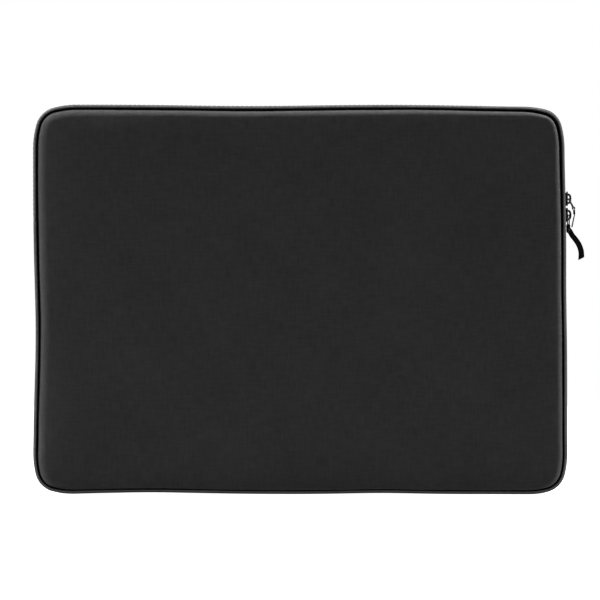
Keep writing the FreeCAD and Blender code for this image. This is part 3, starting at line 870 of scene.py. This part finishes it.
# Sections as inset and y, from the front seam: the gusset's as far as the middle plane
GUSSET_OUTER = [
    (2.6, -5.6), (2.3, -7.5), (2.3, -9.5), (2.25, -10.6), (1.9, -11.1), (1.3, -11.1),
    (0.65, -10.6), (0.2, -9.4), (0.0, -7.2), (0.0, -3.5), (0.0, 0.0),
]
GUSSET_INNER = [(2.62, -5.3), (2.65, -4.8), (2.7, -4.0), (2.7, -2.5), (2.7, 0.0)]
STRIP_OUTER = [
    (2.6, -5.8), (2.3, -7.5), (2.3, -9.5), (2.2, -10.5), (1.8, -11.0), (1.2, -11.0),
    (0.6, -10.4), (0.2, -9.2), (0.12, -7.4), (0.2, -6.0), (0.5, -5.35), (0.95, -5.2),
]
STRIP_INNER = [
    (2.5, -5.6), (2.1, -6.2), (1.75, -8.0), (1.6, -9.4), (1.4, -9.6), (1.3, -8.8), (1.3, -7.4),
    (1.35, -6.0), (1.2, -5.4),
]


def mirrored(profile):
    """A front half profile that ends on the middle plane, and its back half."""
    return profile + [(inset, -y) for inset, y in profile[-2::-1]]


def laid(start, stop, section):
    """Places from start to stop, and the section at each of them."""
    s = steps_between(start, stop, BAND_STEP)
    return s, np.repeat(section[None], len(s), axis=0)


def uneven(s, sections, seed):
    """Lets a band's bulges wander a little along its length."""
    loose = ring_wander(s, seed, 26.0) * 0.6 + ring_wander(s, seed + 1, 8.0) * 0.25
    swell = np.clip((np.abs(sections[..., 1]) - BULGE_FROM) / BULGE_OVER, 0, 1)
    sign = np.sign(sections[..., 1])
    sections[..., 1] += sign * swell * loose[:, None] * BULGE_WANDER
    sections[..., 0] += swell * (1 - swell) * loose[:, None] * BULGE_WANDER


def band(name, start, stop, section, seed, look, nodes, eased=()):
    """A folded strip of knit, with its faces in the seams given painted shade. eased is where it
    stands out past the outline."""
    s, sections = laid(start, stop, section)
    uneven(s, sections, seed)
    if eased:
        loose = np.clip((np.abs(sections[..., 1]) - LOOSE_FROM) / LOOSE_OVER, 0, 1)
        sections[..., 0] -= bumps(s, eased)[:, None] * loose
    piece = swept(name, s, tuck_ends(s, sections, TUCK_LENGTH, TUCK_LEAST))
    dress(piece, "knit_cover", *nodes, look=look)
    inset = np.minimum(section[:, 0], np.roll(section[:, 0], -1))
    paint_seam_shade(piece, lambda face: inset[face.index % len(section)] > SEAM_INSET)
    return piece


GUSSET_RUN = (ZIP_STOP + SEAM_GAP, PERIMETER + ZIP_START - SEAM_GAP)
STRIP_RUN = (ZIP_START + SEAM_GAP, ZIP_STOP - SEAM_GAP)
gusset = band("gusset", *GUSSET_RUN, two_sided(mirrored(GUSSET_OUTER), mirrored(GUSSET_INNER), 40),
              31, GUSSET_KNIT_PAINTED_LIGHT, ["gusset_cover", "gusset_padding"])

# Where the slack strips stand out: side, place, spread, how far
STRIP_EASE = [("top", WIDTH / 2 - REACH * 0.35, 24.0, 0.4), ("right", 238.0, 26.0, 0.28)]
strips = {}
for side, label in SIDES:
    section = two_sided(STRIP_OUTER, STRIP_INNER, 22) * (1, -side)
    strips[side] = band(f"{label}_strip", *STRIP_RUN, section, 41 + side, STRIP_KNIT_PAINTED_LIGHT,
                        split_nodes(label, "zip_strip"), STRIP_EASE)


# ---- Zip

# A tape's outer and inner side, as inset and distance from the middle plane
TAPE_OUTER = [(2.0, 0.55), (2.0, 3.0), (2.05, 4.6), (2.5, 5.5)]
TAPE_INNER = [(2.5, 0.55), (2.5, 3.0), (2.55, 4.4), (2.9, 5.3)]
# Where the tape is sewn, how steeply it leaves its seam and how far it runs past the zip
TAPE_SEAM, TAPE_RISE, TAPE_OVERLAP = 5.5, 2.2, 6.0
# The coil's turns and the points on each, where its middle runs, its size and its wire,
# which is thicker by a share at the heads
COIL_PITCH, COIL_POINTS = 1.3, 10
COIL_CENTRE, COIL_INSET = 1.18, 1.2
COIL_HALF_WIDTH, COIL_HALF_HEIGHT = 1.12, 0.46
COIL_WIRE, COIL_HEAD = 0.32, 0.25
# How far short of the strips' ends the coil stops
COIL_SHORT = 2.0
# Where the zip stands out of its strips as it is bent round the corners
ZIP_PROUD = [
    ("top", WIDTH / 2 - REACH * 0.35, 18.0, 1.6), ("top", REACH * 0.4 - WIDTH / 2, 15.0, 0.7),
]


def tape(name, side):
    """The woven tape that carries one half of the coil, sewn to its strip."""
    section = two_sided(TAPE_OUTER, TAPE_INNER, 14) * (1, side)
    s, sections = laid(ZIP_START - TAPE_OVERLAP, ZIP_STOP + TAPE_OVERLAP, section)
    free = np.clip((1 - np.abs(sections[..., 1]) / TAPE_SEAM) * TAPE_RISE, 0, 1)
    sections[..., 0] -= bumps(s, ZIP_PROUD)[:, None] * free
    return swept(name, s, sections)


def coil(name, side, start, stop):
    """One half of the zip: a nylon wire wound in a flat coil, its heads past the middle."""
    turns = (stop - start) / COIL_PITCH
    count = int(turns * COIL_POINTS)
    phase = np.linspace(0, turns * 2 * math.pi, count)
    s = start + phase * COIL_PITCH / (2 * math.pi) + (COIL_PITCH / 2 if side == BACK else 0.0)
    reach = np.cos(phase)
    y = side * (COIL_CENTRE - COIL_HALF_WIDTH * reach)
    lift = np.sin(phase) * COIL_HALF_HEIGHT
    x, z = outline_at(s, COIL_INSET + lift - bumps(s, ZIP_PROUD))
    heading = heading_at(s)
    ahead = np.stack([np.cos(heading), np.zeros(count), np.sin(heading)], axis=1)
    head = 1 + COIL_HEAD * np.clip(reach, 0, 1) ** 6
    return tube(name, np.stack([x, y, z], axis=1), COIL_WIRE * head, 6, ahead)


for side, label in SIDES:
    cloth = tape(f"{label}_tape", side)
    teeth = coil(f"{label}_coil", side, ZIP_START + COIL_SHORT, ZIP_STOP - COIL_SHORT)
    dress(cloth, "zip_tape", *split_nodes(label, "zip_tape"))
    dress(teeth, "zip_coil", *split_nodes(label, "zip_coil"))
    hold(cloth, side)
    hold(teeth, side)

for side, _ in SIDES:
    hold(panels[side], side)
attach(gusset, "sleeve")
for side, _ in SIDES:
    hold(strips[side], side)


# ---- Linings, bindings, tabs

LINING_THICK, TAB_THICK = 0.35, 0.6
# How far the thin bands and the bindings wander
BAND_WANDER, BINDING_PINCH = 0.12, 0.1
# Sections as inset and y; a binding's goes all round it
GUSSET_LINING = [(5.9, -7.3), (5.3, -6.2), (4.5, -5.4), (3.6, -5.0), (3.15, -4.4), (3.05, -2.0),
                 (3.05, 0.0)]
STRIP_LINING = [(5.9, -7.3), (5.3, -6.2), (4.5, -5.4), (3.6, -5.0), (3.1, -4.4), (3.0, -3.9)]
BINDING = [(5.6, -8.7), (5.75, -9.35), (6.6, -9.65), (8.8, -9.6), (11.2, -9.65), (11.9, -9.3),
           (12.0, -8.7), (11.9, -8.1), (11.2, -7.75), (8.8, -7.9), (6.6, -7.75), (5.75, -8.05)]
TAB = [(3.75, -5.2), (3.72, -2.5), (3.7, 0.0)]
# How long a tab is, and how far it laps over the end of the strips
TAB_LENGTH, TAB_LAP = 12.0, 0.5


def thin_band(name, start, stop, profile, seed, thick=LINING_THICK):
    """A thin band of cloth whose section is a profile, thickened inwards."""
    line = np.asarray(profile, float)
    s, sections = laid(start, stop, two_sided(line, line + normals(line) * thick, 20))
    sections[..., 0] += (ring_wander(s, seed, 14.0) * BAND_WANDER)[:, None]
    return swept(name, s, sections)


def bound_edge(name, side, seed):
    """The tape folded over a panel's seam allowance, gathered a little by its stitches."""
    s = round_places(AROUND)
    section = smooth_line(BINDING + BINDING[:1], 25)[:-1]
    sections = np.repeat(section[None], len(s), axis=0)
    pinch = (ring_wander(s, seed, 6.0) * BINDING_PINCH)[:, None]
    middle = sections[..., 1].mean(axis=1, keepdims=True)
    sections[..., 1] = middle + (sections[..., 1] - middle) * (1 + pinch)
    sections[..., 0] += ring_wander(s, seed + 1, 20.0)[:, None] * BAND_WANDER
    sections[..., 1] *= -side
    return swept(name, s, sections, closed=True)


for side, label in SIDES:
    lining = panel_lining(f"{label}_panel_lining", side, 52 + side)
    dress(lining, "lining", *panel_nodes(side, "lining"))
    hold(lining, side)

gusset_lining = thin_band("gusset_inner_lining", *GUSSET_RUN, mirrored(GUSSET_LINING), 55)
dress(gusset_lining, "lining", "gusset_lining")
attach(gusset_lining, "sleeve")
wide = lengths_along(np.array(mirrored(GUSSET_LINING)))[-1]

for side, label in SIDES:
    turned = [(inset, y * -side) for inset, y in STRIP_LINING]
    piece = thin_band(f"{label}_strip_inner_lining", *STRIP_RUN, turned[::-side], 57 + side)
    dress(piece, "lining", *split_nodes(label, "strip_lining"))
    edging = bound_edge(f"{label}_binding", side, 61 + side)
    dress(edging, "binding", *panel_nodes(side, "seam_binding"))
    hold(piece, side)
    hold(edging, side)

# The fabric tabs over the raw ends of the tapes, inside
for end, start in (("left", ZIP_STOP - TAB_LAP), ("right", ZIP_START + TAB_LAP - TAB_LENGTH)):
    piece = thin_band(f"{end}_tab", start, start + TAB_LENGTH, mirrored(TAB), 67, TAB_THICK)
    dress(piece, "binding", f"{end}_zip_end_tab")
    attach(piece, "sleeve")


# ---- Sewing

# Topstitching: length of a stitch, the gap to the next, where the rows start and end short
# of the strips, and where they lie
STITCH, STITCH_GAP, STITCH_MARGIN = 3.0, 0.5, 3.0
STITCH_THREAD, STITCH_POINTS = 0.17, 7
TOPSTITCH_DEPTH, TOPSTITCH_INSET = 6.9, 0.13
# End stops: turns of thread, and how far each stop is from the end of the strips
STOP_TURNS, STOP_PITCH, STOP_WIDTH, STOP_THREAD = 6, 0.24, 6.0, 0.15
STOP_INSET, STOP_POINTS, STOP_MARGIN = 0.25, 11, 0.9


def arched(length, count, lift, dip):
    """How far along and how high a stitch's thread is: it comes out, lies and goes in."""
    share = np.linspace(-1, 1, count)
    return share * length / 2, lift * (1 - share**4) - dip * share**4


def topstitching(name, side, start, stop):
    """A row of stitches along a zip strip."""
    threads = []
    for middle in np.arange(start + STITCH_MARGIN, stop - STITCH_MARGIN, STITCH + STITCH_GAP):
        gone, height = arched(STITCH, STITCH_POINTS, 0.04, 0.3)
        x, z = outline_at(middle + gone, TOPSTITCH_INSET - height)
        y = np.full(STITCH_POINTS, side * TOPSTITCH_DEPTH)
        threads.append(tube("stitch", np.stack([x, y, z], axis=1), STITCH_THREAD, 6, (0, 1, 0)))
    return joined(name, threads)


def bar_stop(name, node, middle):
    """Threads wound across the coil's end."""
    threads = []
    for turn in range(STOP_TURNS):
        s = middle + (turn - (STOP_TURNS - 1) / 2) * STOP_PITCH
        y, height = arched(STOP_WIDTH, STOP_POINTS, 0.0, 1.3)
        x, z = outline_at(np.full(STOP_POINTS, s), STOP_INSET - height)
        line = np.stack([x, y + math.sin(turn * 2.4) * 0.12, z], axis=1)
        threads.append(tube("turn", line, STOP_THREAD, 6, (0, 0, 1)))
    piece = joined(name, threads)
    dress(piece, "thread", node)
    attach(piece, "sleeve")


for side, label in SIDES:
    rows = topstitching(f"{label}_topstitching", side, *STRIP_RUN)
    dress(rows, "thread")
    hold(rows, side)
bar_stop("right_stop", "right_zip_stop", ZIP_START + STOP_MARGIN)
bar_stop("left_stop", "left_zip_stop", ZIP_STOP - STOP_MARGIN)


# ---- Sliders

# Half a plate's outline as y and z, and where each plate starts and ends in x
PLATE_SHAPE = [(3.2, -5.45), (4.0, -2.85), (3.8, 5.45)]
PLATE_CORNER, PLATE_ROUNDING = 0.9, 0.26
PLATES = [(-0.1, 0.8), (-3.8, -2.9)]
# Blocks between the plates, from and to in x, y and z: the neck, and a flange on each side
NECK = ((-2.9, -0.1), (-0.35, 0.35), (-5.15, -1.45))
FLANGE = ((-1.7, -0.1), (3.1, 3.7), (-2.4, 4.6))
# The bridge's arch: half its length, its top and feet, how square it is and its section,
# which is wider across and flares at the feet
BRIDGE_REACH, BRIDGE_TOP, BRIDGE_FOOT, BRIDGE_POWER = 3.3, 2.9, 0.55, 2.6
BRIDGE_WIRE, BRIDGE_WIDER, BRIDGE_FLARE = 0.84, 1.4, 0.35
BRIDGE_POINTS, BRIDGE_SIDES, BRIDGE_PAST = 29, 12, 0.06
SLIDER_HEIGHT = {which: (low(f"{which}_slider_body").z + high(f"{which}_slider_body").z) / 2
                 for which in ("upper", "lower")}


def rounded(name, corners, rounding):
    """A block from its lower and upper rings of corners, with every edge rounded."""
    count = len(corners) // 2
    faces = [list(range(count))[::-1], list(range(count, 2 * count))]
    faces += [[i, (i + 1) % count, count + (i + 1) % count, count + i] for i in range(count)]
    return new_piece(name, corners, faces, rounding=rounding)


# Ways round a corner, as shares of its radius to go back from it and on from it
SOFT_BEND = [((1 - t) ** 2, t**2) for t in np.linspace(0, 1, 5)]
ROUND_BEND = [(1 - math.sin(t), 1 - math.cos(t)) for t in np.linspace(0, math.pi / 2, 9)]


def soft_corners(shape, radius, bend):
    """A polygon with its corners rounded."""
    out = []
    for i, corner in enumerate(shape):
        here = Vector(corner)
        before = (Vector(shape[i - 1]) - here).normalized() * radius
        after = (Vector(shape[(i + 1) % len(shape)]) - here).normalized() * radius
        out += [here + before * back + after * on for back, on in bend]
    return out


def block(name, x, y, z, rounding=0.12):
    """A rounded block, from and to in x, y and z."""
    corners = [(at, a, b) for at in x
               for a, b in ((y[0], z[0]), (y[1], z[0]), (y[1], z[1]), (y[0], z[1]))]
    return rounded(name, corners, rounding)


def bridge():
    """The arch that holds the ring."""
    turn = np.linspace(-BRIDGE_PAST, math.pi + BRIDGE_PAST, BRIDGE_POINTS)
    cosine, sine = np.cos(turn), np.sin(turn)
    power = 2 / BRIDGE_POWER
    z = -BRIDGE_REACH * np.sign(cosine) * np.abs(cosine) ** power
    x = BRIDGE_FOOT + (BRIDGE_TOP - BRIDGE_FOOT) * np.sign(sine) * np.abs(sine) ** power
    line = np.stack([x, np.zeros(BRIDGE_POINTS), z], axis=1)
    flare = 1 + BRIDGE_FLARE * np.abs(np.cos(turn)) ** 6
    arch = tube("bridge", line, BRIDGE_WIRE, BRIDGE_SIDES, (0, 1, 0))
    spots = spots_of(arch)
    spots[:, 1] *= BRIDGE_WIDER * np.repeat(flare, BRIDGE_SIDES)
    move_spots(arch, spots)
    return arch


def slider(which, flip):
    """A cast slider: two plates, flanges, a neck, and a bridge for the ring."""
    whole = [(-y, z) for y, z in PLATE_SHAPE[::-1]] + PLATE_SHAPE
    shield = soft_corners(whole, PLATE_CORNER, SOFT_BEND)
    pieces = []
    for plate in PLATES:
        corners = [(at, y, z) for at in plate for y, z in shield]
        pieces.append(rounded("plate", corners, PLATE_ROUNDING))
    x, y, z = FLANGE
    for sign in (-1, 1):
        pieces.append(block("flange", x, sorted(at * sign for at in y), z))
    pieces.append(block("neck", *NECK))
    pieces.append(bridge())
    body = joined(f"{which}_slider", pieces)
    spots = spots_of(body)
    if flip:
        spots[:, 1:] *= -1
    move_spots(body, spots + np.array((WIDTH / 2, 0, SLIDER_HEIGHT[which])) * MM)
    dress(body, "slider_metal", f"{which}_slider_body")
    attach(body, f"{which}_slider")


slider("upper", False)
slider("lower", True)


# ---- Rings and ribbon pulls

RING_WIRE, RING_CORNER, RING_HALF = 0.48, 1.5, 4.8
RIBBON_HALF, RIBBON_THICK = 3.7, 0.55
# The fold round the ring: radius of its eye, half the gap of its layers, and its length
EYE, LAYER, FOLD = 0.8, 0.33, 4.8
# A ribbon's edge as a place across it and a share of its thickness: a woven selvedge is
# thicker
SELVEDGE = [
    (-3.70, 0.0), (-3.66, 0.7), (-3.5, 1.08), (-3.2, 1.12), (-2.9, 0.95), (-1.5, 0.97),
    (0.0, 1.0), (1.5, 0.97), (2.9, 0.95), (3.2, 1.12), (3.5, 1.08), (3.66, 0.7),
]
PATH_POINTS, RIBBON_POINTS = 200, 130
# Length over which a slanting cut reaches, and shares of the ribbon where its three twists
# are reached
CUT_REACH = 9.0
TWIST_AT = (0.02, 0.15, 1.0)
# Rows of bar stitches through the fold, and the stitches in each
STITCH_ROWS, ROW_STITCHES, ROW_PITCH, ROW_STITCH, ROW_THREAD = (2.2, 3.2, 4.2), 5, 1.4, 1.15, 0.14
# Each ribbon's middle line from the ring's lower bar, as steps across and up, how far it is
# twisted from the bar to its end in degrees, and how much longer its near edge is cut
PULLS = {
    "upper": dict(
        line=[(0.0, 0.0), (0.35, -1.6), (0.5, -3.3), (0.35, -6.0), (-0.1, -9.0), (-0.7, -11.8),
              (-1.2, -14.4)],
        twist=(7.0, 2.0, 0.0), cut=0.3,
    ),
    "lower": dict(
        line=[(0.0, 0.0), (-0.1, -1.3), (0.15, -2.8), (1.1, -4.9), (2.95, -7.6), (5.4, -10.7),
              (7.75, -14.2), (9.2, -18.0), (9.75, -21.4), (9.6, -24.9)],
        twist=(11.0, 33.0, 37.0), cut=2.4,
    ),
}


def turned_about(vector, axis, angle):
    """Vectors turned about unit axes, row by row."""
    cosine, sine = np.cos(angle)[:, None], np.sin(angle)[:, None]
    along_axis = (vector * axis).sum(axis=1, keepdims=True) * axis
    return vector * cosine + np.cross(axis, vector) * sine + along_axis * (1 - cosine)


def bent_space(foot, line, twist):
    """A function that bends and twists flat places into points, and the bend's length."""
    path = smooth_line([(x, 0.0, z) for x, z in line], PATH_POINTS) + foot
    gone = lengths_along(path)
    tangent = unit(np.gradient(path, axis=0))
    turns = np.radians(np.interp(gone / gone[-1], TWIST_AT, twist))

    def place(a, off, across):
        """Points from distances along the ribbon, off its face and across it."""
        given = np.broadcast_arrays(a, off, across)
        a, off, across = (np.asarray(v, float).ravel() for v in given)
        inside = np.clip(a, 0, gone[-1])
        at = np.stack([np.interp(inside, gone, path[:, c]) for c in range(3)], axis=1)
        way = np.stack([np.interp(inside, gone, tangent[:, c]) for c in range(3)], axis=1)
        way = unit(way)
        at += way * (a - inside)[:, None]
        wide = np.broadcast_to(np.array((0.0, 1.0, 0.0)), at.shape)
        out = np.cross(wide, -way)
        angle = np.interp(inside, gone, turns)
        return (at + turned_about(out, way, angle) * off[:, None]
                + turned_about(wide, way, angle) * across[:, None])

    return place, gone[-1]


def ribbon(which, place, length):
    """One woven strip: a raw end, up one side, round the bar, down the other, and the tail."""
    cut = PULLS[which]["cut"]
    path = smooth_line([
        (FOLD, -LAYER), (FOLD - 1.5, -LAYER), (2.4, -LAYER), (1.5, -0.45), (0.75, -0.7),
        (0.0, -EYE), (-0.57, -0.57), (-EYE, 0.0), (-0.57, 0.57), (0.0, EYE), (0.75, 0.7),
        (1.5, 0.45), (2.4, LAYER), (FOLD - 1.5, LAYER), (FOLD, LAYER), (FOLD + 1.3, 0.22),
        (FOLD + 3.2, 0.0), (FOLD + 6.0, 0.0), (length, 0.0),
    ], RIBBON_POINTS)
    normal = normals(path)
    gone = lengths_along(path)
    edge = np.array(SELVEDGE) * (1, RIBBON_THICK / 2)
    across, thick = np.concatenate([edge, -edge]).T
    share = np.clip((path[:, 0] - (length - CUT_REACH)) / CUT_REACH, 0, 1) * (gone > gone[-1] / 2)
    a = path[:, :1] - cut * share[:, None] * across[None] / (2 * RIBBON_HALF)
    a = a + normal[:, :1] * thick[None]
    off = path[:, 1:] + normal[:, 1:] * thick[None]
    wide = np.broadcast_to(across[None], a.shape)
    count = len(across)
    points = place(a, off, wide).reshape(len(path), count, 3)
    u = np.repeat(wrapped(across[None]), len(path), axis=0)
    v = np.repeat(gone[:, None], count + 1, axis=1)
    return grid_piece(f"{which}_ribbon_pull", points, u, v, closed_columns=True, capped=True)


def fold_stitches(which, place):
    """Rows of stitches across the fold, on both of its faces, a little out of line."""
    threads = []
    for face, row, n in itertools.product((-1, 1), STITCH_ROWS, range(ROW_STITCHES)):
        middle = (n - ROW_STITCHES // 2) * ROW_PITCH
        gone, height = arched(ROW_STITCH, STITCH_POINTS, 0.05, 0.2)
        off = face * (LAYER + RIBBON_THICK / 2 + height)
        at = np.full(STITCH_POINTS, row) + np.sin(n * 2.1 + row) * 0.06
        threads.append(tube("thread", place(at, off, middle + gone), ROW_THREAD, 6, (0, 0, 1)))
    piece = joined(f"{which}_fold_stitches", threads)
    dress(piece, "thread", f"{which}_pull_stitching")
    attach(piece, f"{which}_ribbon")


def ring_line():
    """The ring's wire in its own plane: across, and down from its upper bar."""
    foot = (PIVOT["upper_ribbon_swing"] - PIVOT["upper_ring_swing"]).length
    corners = [(-RING_HALF, 0.0), (-RING_HALF, -foot), (RING_HALF, -foot), (RING_HALF, 0.0)]
    return soft_corners(corners, RING_CORNER, ROUND_BEND)


for which, shape in PULLS.items():
    top, foot = PIVOT[f"{which}_ring_swing"], PIVOT[f"{which}_ribbon_swing"]
    down = np.array((foot - top).normalized())
    turn = np.radians(np.array([shape["twist"][0]]))
    wide = turned_about(np.array([(0.0, 1.0, 0.0)]), down[None], turn)[0]
    wire = np.array([np.array(top) + wide * y - down * z for y, z in ring_line()])
    ring = tube(f"{which}_wire_ring", wire, RING_WIRE, 12, np.cross(wide, down), closed=True)
    dress(ring, "ring_wire", f"{which}_pull_ring")
    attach(ring, f"{which}_ring")
    place, length = bent_space(np.array(foot), shape["line"], shape["twist"])
    strip = ribbon(which, place, length)
    dress(strip, "ribbon", f"{which}_pull_ribbon")
    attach(strip, f"{which}_ribbon")
    fold_stitches(which, place)


# ---- Light, floor and camera

# All in metres. The lights are thin and stand behind the front face, so that they light the
# edges and the light tent lights the face: place, aim, size and watts
LIGHTS = {
    "left_softbox": ((-1.2, 0.0, 0.3), (0, 0.0, 0.15), (0.12, 0.7), 62.0),
    "top_softbox": ((0.0, 0.06, 1.3), (0, 0.06, 0.15), (1.2, 0.1), 118.0),
    "right_softbox": ((1.3, 0.07, 0.35), (0, 0.07, 0.15), (0.1, 0.7), 64.0),
}
BACKDROP = 1.0
FLOOR_REACH = 2.5
VIEW_DISTANCE, VIEW_WIDTH = 3.0, 0.4488
VIEW_CENTRE = Vector((-0.0001, 0.0, 0.1454))
SENSOR = 36.0


def area_light(name, place, target, size, power):
    """A softbox that faces its target."""
    data = bpy.data.lights.new(name, "AREA")
    data.shape = "RECTANGLE"
    data.size, data.size_y = size
    data.energy = power
    lamp = bpy.data.objects.new(name, data)
    lamp.location = place
    lamp.rotation_euler = (Vector(target) - Vector(place)).to_track_quat("-Z", "Y").to_euler()
    bpy.context.scene.collection.objects.link(lamp)


def stage():
    """The light tent, the floor, the lights and the camera."""
    scene = bpy.context.scene
    world = bpy.data.worlds.new("light_tent")
    world.use_nodes = True
    background = world.node_tree.nodes["Background"]
    background.inputs["Color"].default_value = (1.0, 1.0, 1.0, 1.0)
    background.inputs["Strength"].default_value = BACKDROP
    scene.world = world
    scene.view_settings.view_transform = "Standard"
    far = FLOOR_REACH / MM
    corners = [(-far, -far, 0), (far, -far, 0), (far, far, 0), (-far, far, 0)]
    floor = new_piece("floor", corners, [[0, 1, 2, 3]])
    floor.data.materials.append(floor_material())
    for name, light in LIGHTS.items():
        area_light(name, *light)
    data = bpy.data.cameras.new("camera")
    data.sensor_width = SENSOR
    data.lens = SENSOR * VIEW_DISTANCE / VIEW_WIDTH
    camera = bpy.data.objects.new("camera", data)
    camera.location = VIEW_CENTRE - Vector((0, VIEW_DISTANCE + GUSSET_DEPTH * MM, 0))
    camera.rotation_euler = (math.pi / 2, 0, 0)
    scene.collection.objects.link(camera)
    scene.camera = camera


stage()

# The hidden CAD pieces get their materials too
slot_of = {part["node"]: part["material_slot"] for part in frame["record"]["subparts"]}
for node, piece in frame["nodes"].items():
    piece.data.materials.clear()
    piece.data.materials.append(MATERIALS[slot_of[node]])
